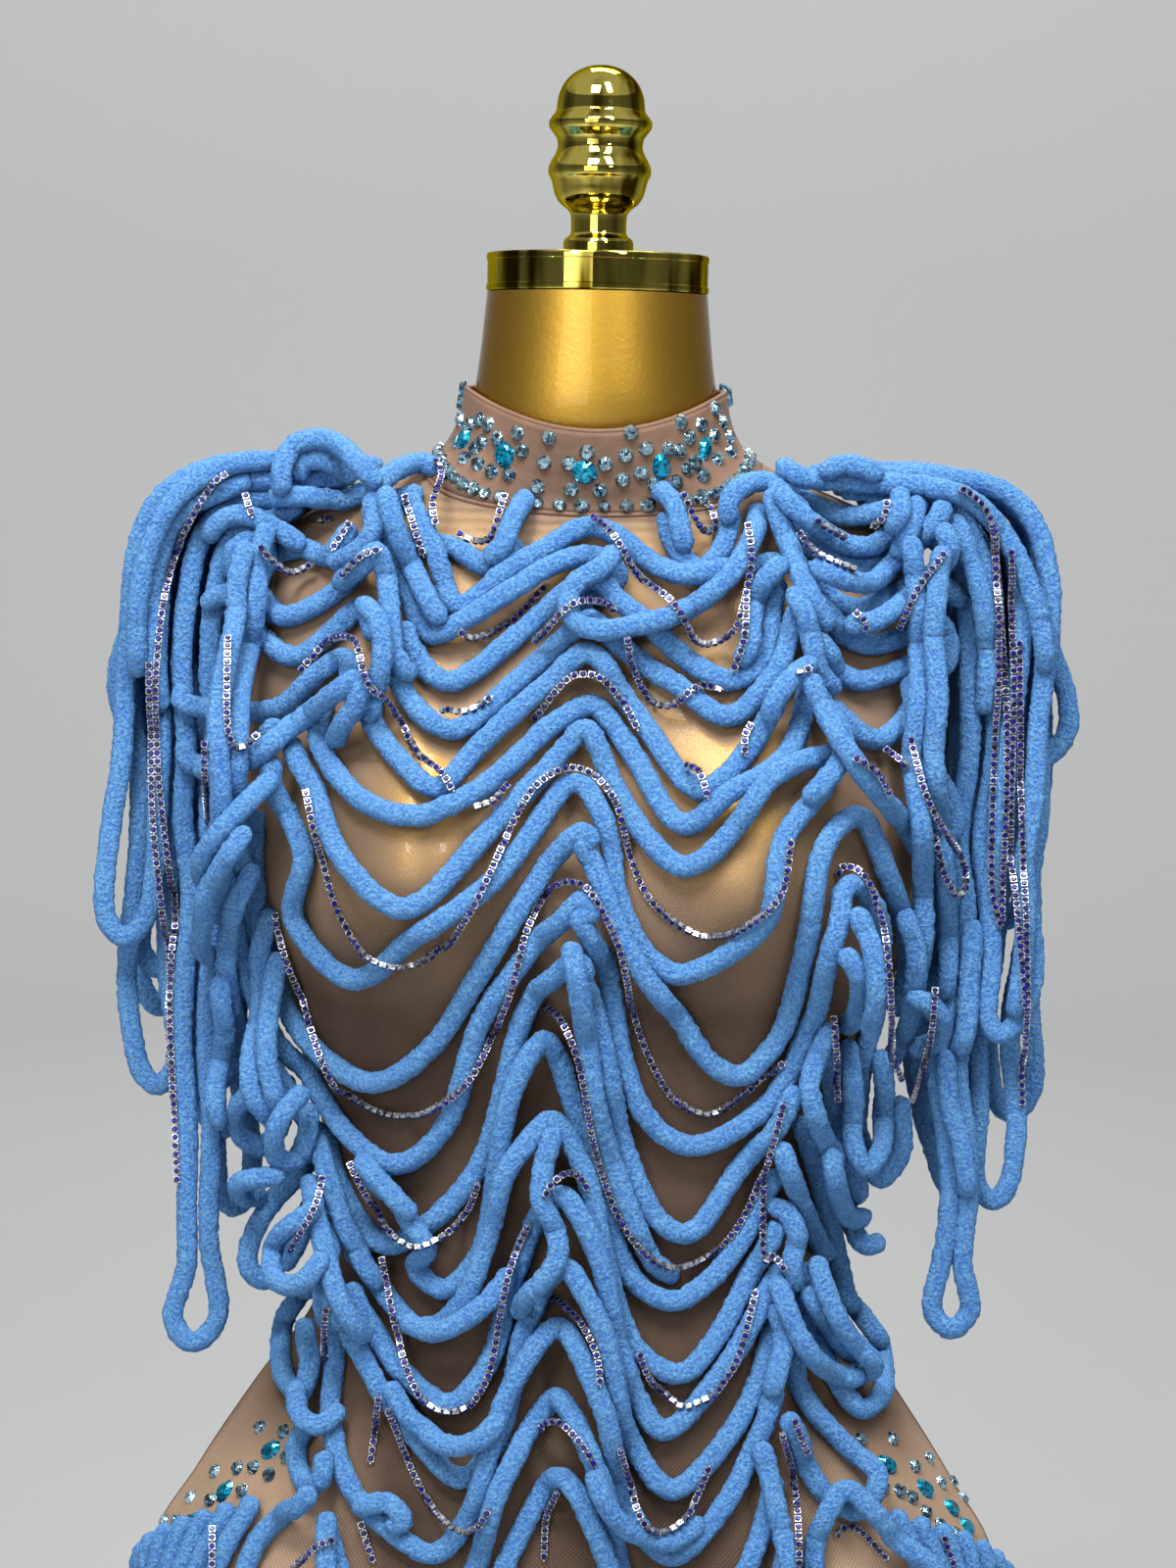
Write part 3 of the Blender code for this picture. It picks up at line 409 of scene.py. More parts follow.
# Neck cap and finial
# A thick disc of gold plate closes the neck, and a turned and plated knob stands on it. Both are
# polished to a mirror.
CAP_RADIUS = 0.0515
CAP_EDGE = 0.0010
# A fine groove in the cap's top, as (distance in from its rim, depth)
CAP_GROOVE = [(0.0040, 0.0), (0.0032, 0.0006), (0.0022, 0.0002)]
CAP_LIP = 0.0030
CAP_INSET = 0.0004
# Lengthwise bands of painted reflection on the polished gold, from dark to bright
MIRROR_PAINTED_BANDS = 62
MIRROR_PAINTED_BANDS_LONG = (1.0, 1.0, 0.10)
MIRROR_SMEARS = 60
MIRROR_WAVES = 35
MIRROR_WAVE_DEPTH = 0.00006
MIRROR_GOLD = colour(236, 214, 104)
# The dark end of the painted reflections, and also a darker random tone mottled into the stand
MIRROR_DARK_PAINTED_REFLECTION_AND_TONE = colour(78, 66, 14)
MIRROR_EDGE = colour(190, 170, 90)
FINIAL_SMOOTHING = 5
# The finial's outline, as (radius, height above the cap), with each waist and bead
FINIAL = [(0.0000, 0.0860), (0.0045, 0.0856), (0.0095, 0.0840), (0.0145, 0.0806), (0.0180, 0.0760),
          (0.0199, 0.0705), (0.0206, 0.0650), (0.0226, 0.0622), (0.0239, 0.0597), (0.0236, 0.0575),
          (0.0215, 0.0545), (0.0200, 0.0520), (0.0196, 0.0490), (0.0206, 0.0455), (0.0226, 0.0420),
          (0.0238, 0.0385), (0.0236, 0.0362), (0.0224, 0.0338), (0.0216, 0.0310), (0.0206, 0.0270),
          (0.0180, 0.0228), (0.0145, 0.0200), (0.0131, 0.0178), (0.0128, 0.0140), (0.0128, 0.0100),
          (0.0136, 0.0083), (0.0156, 0.0066), (0.0162, 0.0046), (0.0162, 0.0010), (0.0160, 0.0000),
          (0.0000, 0.0000)]

mirror_gold = Finish("mirror_gold", {"Metallic": 1.0, "Specular Tint": MIRROR_EDGE})
# Painted reflections: long noise bands blend the gold from dark to bright; smears vary only its roughness
lengthwise = mirror_gold.add("ShaderNodeMapping", {}, {"Vector": mirror_gold.place(),
                                                       "Scale": MIRROR_PAINTED_BANDS_LONG})
painted_reflection_bands = mirror_gold.spread(mirror_gold.grain(MIRROR_PAINTED_BANDS, 3.0, where=lengthwise), 0.40, 0.56)
smears = mirror_gold.spread(mirror_gold.grain(MIRROR_SMEARS, 4.0), 0.45, 0.75)
mirror_gold.finish(Base_Color=mirror_gold.blend(painted_reflection_bands, MIRROR_DARK_PAINTED_REFLECTION_AND_TONE, MIRROR_GOLD),
                   Roughness=smears * 0.07 + 0.035,
                   Normal=mirror_gold.bump(mirror_gold.grain(MIRROR_WAVES, 1.0), MIRROR_WAVE_DEPTH))

cap_low, cap_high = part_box("form_cap")
cap_top, cap_foot = cap_high.z, cap_low.z
cap = turned("neck_cap", [
    (0.0, cap_top), *((CAP_RADIUS - inward, cap_top - depth) for inward, depth in CAP_GROOVE),
    *arc((CAP_RADIUS - CAP_EDGE, cap_top - CAP_EDGE), CAP_EDGE, 90, 0, 5),
    (CAP_RADIUS, cap_top - CAP_LIP), (CAP_RADIUS - CAP_INSET, cap_top - CAP_LIP - CAP_INSET),
    (CAP_RADIUS - CAP_INSET, cap_foot + CAP_LIP + CAP_INSET), (CAP_RADIUS, cap_foot + CAP_LIP),
    *arc((CAP_RADIUS - CAP_EDGE, cap_foot + CAP_EDGE), CAP_EDGE, 0, -90, 5),
    (0.0, cap_foot)], mirror_gold.material, steps=96)
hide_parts("form_cap")
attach(cap, "root")


def smooth_outline(points, steps):
    """More points on a smooth curve through a turned outline's own ones."""
    knots = np.arange(len(points))
    fine = np.linspace(0, len(points) - 1, (len(points) - 1) * steps + 1)
    made = []
    for values in np.array(points).T:
        slopes = steady_slopes(knots.astype(float), values)
        i = np.minimum(fine.astype(int), len(points) - 2)
        t = fine - i
        made.append(values[i] * (1 + 2 * t) * (1 - t) ** 2 + slopes[i] * t * (1 - t) ** 2
                    + values[i + 1] * t * t * (3 - 2 * t) + slopes[i + 1] * t * t * (t - 1))
    return list(zip(*made))


finial_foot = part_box("form_finial")[0].z
knob = smooth_outline(FINIAL[:-1], FINIAL_SMOOTHING) + FINIAL[-1:]
finial = turned("turned_finial", [(radius, finial_foot + height) for radius, height in knob],
                mirror_gold.material, steps=72)
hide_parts("form_finial")
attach(finial, "root")


# The stand
# A heavy plated disc and a short post with a flange at each end. The photograph ends above it.
BASE_ROUNDING = 0.006
BASE_EDGE = 0.0008
POST_RADIUS = 0.016
FLANGE_RIM = 0.005
FLANGE_EDGE = 0.001
TOP_FILLET_DROP = 0.021
FOOT_FILLET_RISE = 0.019
FOOT_FLANGE = 0.030
STAND_POLISH = 24

stand_gold = Finish("stand_gold", {"Metallic": 1.0, "Specular Tint": MIRROR_EDGE})
polish = stand_gold.spread(stand_gold.grain(STAND_POLISH, 3.0), 0.35, 0.65)
stand_gold.finish(Base_Color=stand_gold.blend(polish * 0.25, MIRROR_GOLD, MIRROR_DARK_PAINTED_REFLECTION_AND_TONE),
                  Roughness=polish * 0.06 + 0.12)

base_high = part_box("stand_base")[1]
base_radius, base_top = base_high.x, base_high.z
base = turned("stand_disc", [
    (0.0, base_top), (base_radius - BASE_ROUNDING, base_top),
    *arc((base_radius - BASE_ROUNDING, base_top - BASE_ROUNDING), BASE_ROUNDING, 90, 0, 8)[1:],
    (base_radius, BASE_EDGE), (base_radius - BASE_EDGE, 0.0), (0.0, 0.0)],
    stand_gold.material, steps=128)
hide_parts("stand_base")

post_low, post_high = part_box("stand_post")
post_foot, post_top, top_flange = post_low.z, post_high.z, post_high.x
post = turned("stand_column", [
    (0.0, post_top), (top_flange - FLANGE_EDGE, post_top), (top_flange, post_top - FLANGE_EDGE),
    (top_flange, post_top - FLANGE_RIM),
    *arc((top_flange, post_top - TOP_FILLET_DROP), top_flange - POST_RADIUS, 90, 180, 8)[1:],
    *arc((FOOT_FLANGE, post_foot + FOOT_FILLET_RISE), FOOT_FLANGE - POST_RADIUS, 180, 270, 8)[:-1],
    (FOOT_FLANGE, post_foot + FLANGE_RIM), (FOOT_FLANGE, post_foot + FLANGE_EDGE),
    (FOOT_FLANGE - FLANGE_EDGE, post_foot), (0.0, post_foot)], stand_gold.material, steps=64)
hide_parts("stand_post")
for piece in (base, post):
    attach(piece, "root")


# The net panels
# One front and two backs of fine tan power net, overlocked together at the sides, the shoulders and
# the centre back. They are cut close, so that the paint shines through where they are stretched. The
# net is sheer from the waist up in front, and closer over the hips' sides, the back and the foot.
SEAM_GAP = 0.0003
NET_DISTANCE = 0.0023
NET_THICKNESS = 0.0004
HEM_HEIGHT = 0.192
YOKE_HEIGHT = 0.800
NECKLINE = (0.883, 0.904, 0.914)
ARMHOLE_BOTTOM = 0.772
ARMHOLE_TOP = 0.876
ARMHOLE_DEPTH = 0.036
FRONT_COLUMNS = 96
BACK_COLUMNS = 44
SIDE_ROWS = 110
ARMHOLE_ROWS = 28
SHOULDER_ROWS = 7
# The rows are closest together where the armhole curves most
LEVELS = np.concatenate([
    np.linspace(HEM_HEIGHT, ARMHOLE_BOTTOM, SIDE_ROWS + 1)[:-1],
    (ARMHOLE_BOTTOM + ARMHOLE_TOP) / 2
    - (ARMHOLE_TOP - ARMHOLE_BOTTOM) / 2 * np.cos(np.linspace(0.0, math.pi, ARMHOLE_ROWS + 1))[:-1],
    np.linspace(ARMHOLE_TOP, NECKLINE[1], SHOULDER_ROWS + 1)])
CREASE_WANDER = 0.8
CREASE_WAVES = 2.2
CREASE_PHASE = 90
CREASE_LIMITS = (-0.0011, 0.0012)
# Lean is in degrees from upright, and a trough's rise is negative
Crease = namedtuple("Crease", "x height length lean width rise")
FRONT_CREASES = [
    Crease(-0.128, 0.640, 0.110, 62, 0.0060, 0.0010), Crease(-0.118, 0.668, 0.080, 48, 0.0045, -0.0008),
    Crease(0.131, 0.640, 0.100, -58, 0.0060, 0.0009), Crease(0.116, 0.662, 0.070, -44, 0.0050, -0.0009),
    Crease(-0.060, 0.415, 0.085, 38, 0.0050, 0.0009), Crease(-0.085, 0.380, 0.110, 30, 0.0070, -0.0010),
    Crease(0.072, 0.412, 0.090, -34, 0.0055, 0.0010), Crease(0.092, 0.365, 0.120, -24, 0.0070, -0.0009),
    Crease(-0.015, 0.330, 0.150, 4, 0.0080, 0.0010), Crease(0.034, 0.352, 0.120, -8, 0.0060, -0.0009),
    Crease(-0.100, 0.545, 0.060, 75, 0.0040, 0.0007), Crease(0.101, 0.552, 0.070, -70, 0.0045, 0.0008),
    Crease(-0.040, 0.560, 0.045, 10, 0.0035, 0.0006), Crease(0.048, 0.585, 0.055, -16, 0.0040, 0.0006),
    Crease(-0.120, 0.300, 0.140, 20, 0.0080, -0.0008), Crease(0.118, 0.285, 0.130, -18, 0.0085, 0.0009),
    Crease(-0.064, 0.852, 0.050, 60, 0.0040, 0.0007), Crease(0.066, 0.858, 0.046, -52, 0.0040, 0.0006),
]
BACK_CREASES = [
    Crease(-0.100, 0.640, 0.100, -52, 0.0060, 0.0009), Crease(0.104, 0.652, 0.090, 48, 0.0060, 0.0009),
    Crease(-0.045, 0.560, 0.080, -20, 0.0050, -0.0009), Crease(0.050, 0.548, 0.070, 24, 0.0050, 0.0008),
    Crease(-0.070, 0.520, 0.110, -8, 0.0060, 0.0010), Crease(0.066, 0.505, 0.120, 6, 0.0070, -0.0009),
    Crease(-0.095, 0.400, 0.120, 34, 0.0080, -0.0009), Crease(0.102, 0.392, 0.110, -30, 0.0075, 0.0009),
    Crease(-0.060, 0.800, 0.080, 66, 0.0055, 0.0008), Crease(0.064, 0.790, 0.090, -62, 0.0055, -0.0008),
    Crease(-0.030, 0.300, 0.140, 6, 0.0080, 0.0009), Crease(0.078, 0.290, 0.120, -12, 0.0080, 0.0008),
]
NET_MAP_HEIGHT = 0.6
NET_MAP_FULLNESS = 1.15
NET_TAN = colour(176, 146, 120)
# The net's deep brown: mostly painted shade behind the swags, and a little random darker tone
NET_DEEP_TONE_AND_PAINTED_SHADE = colour(72, 53, 40)
NET_PITCH = 0.00170
NET_STRETCH_HEIGHT = 0.745
NET_STRETCH_REACH = 0.056
NET_STRETCH_EDGE = (1.5, 0.1)
# The painted shade over the waist in front: its middle height, its reach above and below, and its share at
# the back
NET_PAINTED_SHADE_HEIGHT = 0.520
NET_PAINTED_SHADE_REACH = (0.207, 0.140)
NET_PAINTED_SHADE_BEHIND = 0.20
NET_FRONT = (0.040, -0.040)
NET_SHEER_FROM = 0.475
NET_CLOSE_BELOW = 0.435
NET_CLOSE_SIDES = (0.085, 0.120)
NET_CLOSE_FOOT = (0.380, 0.330)
NET_RIPPLE_PITCH = 0.0046
NET_RIPPLES_FROM = (0.858, 0.880)
NET_RIPPLE_DEPTH = 2.5
NET_THREAD_DEPTH = 0.00012
NET_COVER = 0.50
NET_COVER_STRETCHED = -0.24
NET_COVER_PAINTED_SHADE = 0.38
NET_COVER_DOUBLED = 0.46
NET_COVER_CLOUDS = 0.06
NET_HOLES = 0.40
NET_CLOUDS = 22


def around(turn, heights):
    """A height that changes from the centre front to the sides to the centre back."""
    front, side, back = heights
    facing = np.cos(turn)
    return side + (np.where(facing > 0, front, back) - side) * facing * facing


def panel_height(turn, level):
    """A level's height at each turn: flat below the yoke, and curved to the neckline above it."""
    share = np.clip((level - YOKE_HEIGHT) / (NECKLINE[1] - YOKE_HEIGHT), 0.0, None)
    return level + (around(turn, NECKLINE) - NECKLINE[1]) * share * share


def side_turn(level, column):
    """How far round a panel reaches: to the side seam, the armhole or the shoulder seam."""
    middle = (ARMHOLE_BOTTOM + ARMHOLE_TOP) / 2
    share = (level - middle) / (ARMHOLE_TOP - middle)
    depth = SEAM_GAP / 2 + ARMHOLE_DEPTH * np.sqrt(np.clip(1 - share * share, 0.0, None))
    reach = torso(column, level) * (1 + torso("fullness", level))
    return np.arccos(np.clip(depth / reach, 0.0, 1.0))


def creased(points, creases):
    """How far soft pulls in the cloth push these points off the body."""
    total = np.zeros(len(points))
    for crease in creases:
        lean = math.radians(crease.lean)
        x, z = points[:, 0] - crease.x, points[:, 2] - crease.height
        along = (x * math.sin(lean) + z * math.cos(lean)) / crease.length * 2
        across = (x * math.cos(lean) - z * math.sin(lean)) / crease.width
        across += CREASE_WANDER * np.sin(along * CREASE_WAVES + crease.x * CREASE_PHASE)
        total += crease.rise * np.exp(-across * across) * np.exp(-along ** 4)
    return np.clip(total, *CREASE_LIMITS)


def thicken(sheet, thickness):
    """Gives a sheet its wall, on its outer side."""
    wall = sheet.modifiers.new("Thickness", "SOLIDIFY")
    wall.thickness = thickness
    wall.offset = 1.0


def net_panel(name, node, columns, start, end, creases):
    """A fitted panel of net between two edges, each given as an angle at every level."""
    def place(across, up):
        level = np.interp(up * (len(LEVELS) - 1), np.arange(len(LEVELS)), LEVELS)
        turn = start(level) + (end(level) - start(level)) * across
        height = panel_height(turn, level)
        pull = creased(body_points(turn, height), creases)
        return off_body(turn, height, NET_DISTANCE + pull)

    bm = sheet_from(columns, len(LEVELS) - 1, place)
    reach = np.mean(end(LEVELS) - start(LEVELS))
    width = float(reach * torso("half_width", NET_MAP_HEIGHT) * NET_MAP_FULLNESS)
    scale_uv(bm, width, LEVELS[-1] - LEVELS[0])
    panel = object_from(name, bm, net.material)
    panel.data.shade_smooth()
    thicken(panel, NET_THICKNESS)
    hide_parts(node)
    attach(panel, "root")
    return panel


net = Finish("tan_net", {"Roughness": 0.72, "Sheen Weight": 0.25, "Sheen Roughness": 0.45,
                         "Sheen Tint": NET_TAN})
x, y, z = net.axes(net.place())
# It is opened where it is stretched over the bust, made closer and painted deep brown behind the swags as
# painted shade, and close lower down
across = (x.size() - BUST_APART) * (1 / NET_STRETCH_REACH)
above = (z - NET_STRETCH_HEIGHT) * (1 / NET_STRETCH_REACH)
ahead = net.spread(y, *NET_FRONT)
stretched = net.spread(across * across + above * above, *NET_STRETCH_EDGE) * ahead
closed = net.spread(x.size(), *NET_CLOSE_SIDES).or_more(1 - ahead)
closed = closed.or_more(net.spread(z, *NET_CLOSE_FOOT))
doubled = net.spread(z, NET_SHEER_FROM, NET_CLOSE_BELOW) * closed
painted_shade = net.spread((z - NET_PAINTED_SHADE_HEIGHT).size(), *NET_PAINTED_SHADE_REACH)
painted_shade = painted_shade * (ahead * (1 - NET_PAINTED_SHADE_BEHIND) + NET_PAINTED_SHADE_BEHIND) * (1 - doubled)
u, v, _ = net.axes(net.add("ShaderNodeUVMap", {"uv_map": "UVMap"}, {}))
# The knit's own holes, and fine ripples under the collar
threads = (u * (2 * math.pi / NET_PITCH)).cosine() * (v * (2 * math.pi / NET_PITCH)).cosine()
holes = net.spread(threads, 0.05, 0.45)
cloud = net.spread(net.grain(NET_CLOUDS, 2.0), 0.3, 0.7)
cover = (stretched * NET_COVER_STRETCHED + painted_shade * NET_COVER_PAINTED_SHADE + doubled * NET_COVER_DOUBLED
         + cloud * NET_COVER_CLOUDS + NET_COVER)
ripples = (z * (2 * math.pi / NET_RIPPLE_PITCH) + cloud * 4).cosine() * net.spread(z, *NET_RIPPLES_FROM)
# Painted shade: the net's colour goes deep brown over the waist in front, behind the swags, and random
# clouds add a little of the same tone
net.finish(Base_Color=net.blend(painted_shade * 0.85 + cloud * 0.15, NET_TAN, NET_DEEP_TONE_AND_PAINTED_SHADE),
           Alpha=cover * (1 - holes * NET_HOLES),
           Normal=net.bump(threads + ripples * NET_RIPPLE_DEPTH, NET_THREAD_DEPTH))


def front_turn(level):
    return side_turn(level, "front")


def back_turn(level):
    return math.pi - side_turn(level, "back")


def centre_back(level):
    return math.pi - SEAM_GAP / 2 / torso("half_width", level)


def mirrored(edge):
    """The same edge of a panel on the other side of the body."""
    return lambda level: -edge(level)


front_net = net_panel("front_net", "front_panel", FRONT_COLUMNS, mirrored(front_turn), front_turn,
                      FRONT_CREASES)
back_nets = [
    net_panel("back_net_right", "back_panel_right", BACK_COLUMNS, back_turn, centre_back, BACK_CREASES),
    net_panel("back_net_left", "back_panel_left", BACK_COLUMNS, mirrored(centre_back),
              mirrored(back_turn), BACK_CREASES),
]


# The stand collar
# A deep band of the same net, doubled, folded over at its top and open at the centre back. Its foot
# is sewn to the neckline.
COLLAR_TOP = (0.922, 0.939, 0.945)
NECK_SEAM_GAP = 0.0006
COLLAR_DISTANCE = 0.0015
COLLAR_FLARE = 0.0014
COLLAR_THICKNESS = 0.0018
COLLAR_COLUMNS = 150
COLLAR_ROWS = 14
COLLAR_LENGTH = 0.360
COLLAR_PUCKERS = 85
COLLAR_KNIT = 1500
COLLAR_CLOUDS = 30
COLLAR_PUCKER_DEPTH = 0.0006
COLLAR_TAN = colour(126, 97, 78)
COLLAR_TAN_DEEP = colour(100, 75, 59)


def collar_place(across, up):
    """The band's inner side, from one edge of the opening round the front to the other."""
    gap = SEAM_GAP / 2 / torso("half_width", COLLAR_TOP[2])
    turn = -math.pi + gap + 2 * (math.pi - gap) * across
    low = around(turn, NECKLINE) + NECK_SEAM_GAP
    height = low + (around(turn, COLLAR_TOP) - low) * up
    return off_body(turn, height, COLLAR_DISTANCE + COLLAR_FLARE * up)


folded_net = Finish("folded_net", {"Roughness": 0.80, "Sheen Weight": 0.18, "Sheen Roughness": 0.50,
                                   "Sheen Tint": NET_TAN})
puckers = folded_net.spread(folded_net.grain(COLLAR_PUCKERS, 1.0), 0.3, 0.7)
knit = folded_net.grain(COLLAR_KNIT, 1.0)
tones = folded_net.spread(folded_net.grain(COLLAR_CLOUDS, 2.0), 0.3, 0.7)
folded_net.finish(Base_Color=folded_net.blend(tones * 0.5 + knit * 0.25, COLLAR_TAN, COLLAR_TAN_DEEP),
                  Normal=folded_net.bump(puckers + knit * 0.3, COLLAR_PUCKER_DEPTH))

bm = sheet_from(COLLAR_COLUMNS, COLLAR_ROWS, collar_place)
scale_uv(bm, COLLAR_LENGTH, COLLAR_TOP[1] - NECKLINE[1])
collar = object_from("stand_collar", bm, folded_net.material)
collar.data.shade_smooth()
thicken(collar, COLLAR_THICKNESS)
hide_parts("collar")
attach(collar, "root")


# The seams and edges
# The panels are overlocked inside and pressed flat, so each seam shows as a low ridge. A narrow strip
# of the net binds the armholes and the collar's foot. The hem is turned up once and stitched twice.
SEAM_RADIUS = 0.0007
BINDING_RADIUS = 0.0013
FOLD_RADIUS = 0.0011
EDGE_SIDES = 8
FINE_WELD = 0.00001
NECK_STEPS = 120
HEM_DEPTH = 0.014
HEM_THICKNESS = 0.0006
HEM_ROWS = 3
HEM_GAP = 0.0001
HEM_DISTANCE = NET_DISTANCE + NET_THICKNESS + HEM_GAP
HEM_ROUNDNESS = 0.82
STITCH_AHEAD = 0.01
HEM_STITCH_ROWS = (0.0035, 0.0108)
STITCH_SIZE = (0.0017, 0.00035, 0.00030)
STITCH_PITCH = 0.0027
THREAD_TWIST = 3500
THREAD_DEPTH = 0.0001
THREAD = colour(150, 120, 98)


def tubes(name, routes, radius, sides, swell=None, closed=False):
    """Round tubes along these routes. swell gives the share of the radius at a point of a route."""
    curve = bpy.data.curves.new(name + "_guide", "CURVE")
    curve.dimensions = "3D"
    curve.bevel_depth = radius
    curve.bevel_resolution = sides // 2 - 2
    curve.use_fill_caps = not closed
    for route in routes:
        spline = curve.splines.new("POLY")
        spline.points.add(len(route) - 1)
        spline.use_cyclic_u = closed
        for i, (target, point) in enumerate(zip(spline.points, route)):
            target.co = (*point, 1.0)
            target.radius = swell(i, len(route)) if swell else 1.0
    guide = bpy.data.objects.new(name + "_guide", curve)
    bpy.context.scene.collection.objects.link(guide)
    mesh = bpy.data.meshes.new_from_object(guide.evaluated_get(bpy.context.evaluated_depsgraph_get()))
    bm = bmesh.new()
    bm.from_mesh(mesh)
    bmesh.ops.remove_doubles(bm, verts=bm.verts, dist=FINE_WELD)
    bm.normal_update()
    bpy.data.objects.remove(guide)
    bpy.data.curves.remove(curve)
    bpy.data.meshes.remove(mesh)
    return bm


def edge_piece(name, routes, radius, closed=False):
    """Ridges or bindings of the net along these routes, as one piece."""
    piece = object_from(name, tubes(name, routes, radius, EDGE_SIDES, closed=closed), folded_net.material)
    piece.data.shade_smooth()
    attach(piece, "root")
    return piece


def on_net(turn, level):
    """A point in the middle of the net's wall."""
    return Vector(off_body(turn, panel_height(turn, level), NET_DISTANCE + NET_THICKNESS / 2))


def seated(point, outward, along):
    """The place of something small whose own Z faces outward and whose X lies along."""
    side = outward.cross(along).normalized()
    return Matrix.Translation(point) @ Matrix((side.cross(outward), side, outward)).transposed().to_4x4()


def copies(name, parts, finish):
    """Copies of small meshes, each given with its place, joined as one piece."""
    bm = bmesh.new()
    for template, place in parts:
        one = template.copy()
        one.transform(place)
        bm.from_mesh(one)
        bpy.data.meshes.remove(one)
    piece = object_from(name, bm, finish)
    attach(piece, "root")


side_levels = [level for level in LEVELS if level <= ARMHOLE_BOTTOM + SEAM_GAP]
arm_levels = [level for level in LEVELS if ARMHOLE_BOTTOM <= level <= ARMHOLE_TOP]
shoulder_levels = [level for level in LEVELS if level >= ARMHOLE_TOP - SEAM_GAP]
side_seams, shoulder_seams, armholes = [], [], []
for side in (-1, 1):
    seam_turn = side * math.pi / 2
    side_seams.append([on_net(seam_turn, level) for level in side_levels])
    shoulder_seams.append([on_net(seam_turn, level) for level in shoulder_levels])
    in_front = [on_net(side * front_turn(level), level) for level in arm_levels]
    behind = [on_net(side * back_turn(level), level) for level in arm_levels[1:-1]]
    armholes.append(in_front + behind[::-1])
centre_seam = [on_net(math.pi, level) for level in LEVELS]
round_neck = [2 * math.pi * i / NECK_STEPS for i in range(NECK_STEPS)]
collar_foot = [Vector(off_body(turn, around(turn, NECKLINE), NET_DISTANCE)) for turn in round_neck]
collar_edge = [Vector(collar_place(i / NECK_STEPS, 1.0)) for i in range(NECK_STEPS + 1)]
collar_wall = [Vector(off_body(turn, around(turn, COLLAR_TOP), 1.0)
                      - off_body(turn, around(turn, COLLAR_TOP), 0.0)) * COLLAR_THICKNESS / 2
               for turn in np.linspace(-math.pi, math.pi, NECK_STEPS + 1)]

edge_piece("net_seams", side_seams + shoulder_seams + [centre_seam], SEAM_RADIUS)
edge_piece("armhole_bindings", armholes, BINDING_RADIUS, closed=True)
edge_piece("neck_seam", [collar_foot], BINDING_RADIUS, closed=True)
collar_fold = edge_piece("collar_fold", [[point + half for point, half in zip(collar_edge, collar_wall)]],
                         FOLD_RADIUS)


def hem_strip(name, columns, start, end):
    """The turned-up edge of one panel, between its two side edges."""
    def place(across, up):
        level = HEM_HEIGHT + HEM_DEPTH * up
        turn = start(level) + (end(level) - start(level)) * across
        return off_body(turn, level, HEM_DISTANCE)

    strip = object_from(name, sheet_from(columns, HEM_ROWS, place), folded_net.material)
    strip.data.shade_smooth()
    thicken(strip, HEM_THICKNESS)
    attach(strip, "root")
    return strip


hems = [
    hem_strip("hem_front", FRONT_COLUMNS, mirrored(front_turn), front_turn),
    hem_strip("hem_back_right", BACK_COLUMNS, back_turn, centre_back),
    hem_strip("hem_back_left", BACK_COLUMNS, mirrored(centre_back), mirrored(back_turn)),
]

bm = bmesh.new()
bmesh.ops.create_cube(bm, size=1.0, matrix=Matrix.Diagonal((*STITCH_SIZE, 1.0)))
stitch = bpy.data.meshes.new("stitch")
bm.to_mesh(stitch)
bm.free()
stitches = []
hem_round = 2 * math.pi * float(torso("half_width", HEM_HEIGHT)) * HEM_ROUNDNESS
stitch_count = round(hem_round / STITCH_PITCH)
for rise in HEM_STITCH_ROWS:
    for i in range(stitch_count):
        turn = 2 * math.pi * i / stitch_count
        place, beside = (Vector(off_body(turn + step, HEM_HEIGHT + rise, HEM_DISTANCE + HEM_THICKNESS))
                         for step in (0.0, STITCH_AHEAD))
        outward = place - Vector(off_body(turn, HEM_HEIGHT + rise, 0.0))
        stitches.append((stitch, seated(place, outward.normalized(), (beside - place).normalized())))
thread = Finish("sewing_thread", {"Base Color": THREAD, "Roughness": 0.6, "Sheen Weight": 0.2})
twist = thread.grain(THREAD_TWIST, 1.0)
thread.finish(Base_Color=thread.blend(twist, THREAD, NET_TAN), Normal=thread.bump(twist, THREAD_DEPTH))
copies("hem_stitches", stitches, thread.material)


# The pile cord
# Chenille: a twisted core with short cut pile all round it, soft and as thick as a finger. Each
# swag is tacked to the net at its high points, and lies over the swags that were sewn on before it.
CORD_RADIUS = 0.0049
CORD_SIDES = 14
CORD_STEP = 0.0014
PILE_LUMP = 0.00080
PILE_LUMPS = 400
CORD_SWELL = 0.00025
CORD_SWELLS = 70
CORD_END_FLAT = 0.0004
PILE_DEPTH = 0.0020
PILE_TUFTS = 640
PILE_FIBRES = 2600
PILE_PATCHES = 45
PILE_LIGHT = colour(138, 206, 255)
# The pile's deep blue: its own darker tone, and the painted shade in its pits
PILE_DEEP_TONE_AND_PIT_SHADE = colour(36, 98, 208)
PILE_SHEEN = colour(140, 200, 255)


def rings_from(bm, ring):
    """The four-cornered rings of a tube, one after the other from its end, or None."""
    seen, rings = set(ring), [ring]
    while True:
        ahead = {edge.other_vert(vert) for vert in rings[-1] for edge in vert.link_edges} - seen
        if not ahead:
            return rings if len(seen) == len(bm.verts) else None
        if len(ahead) != 4:
            return None
        rings.append(ahead)
        seen |= ahead


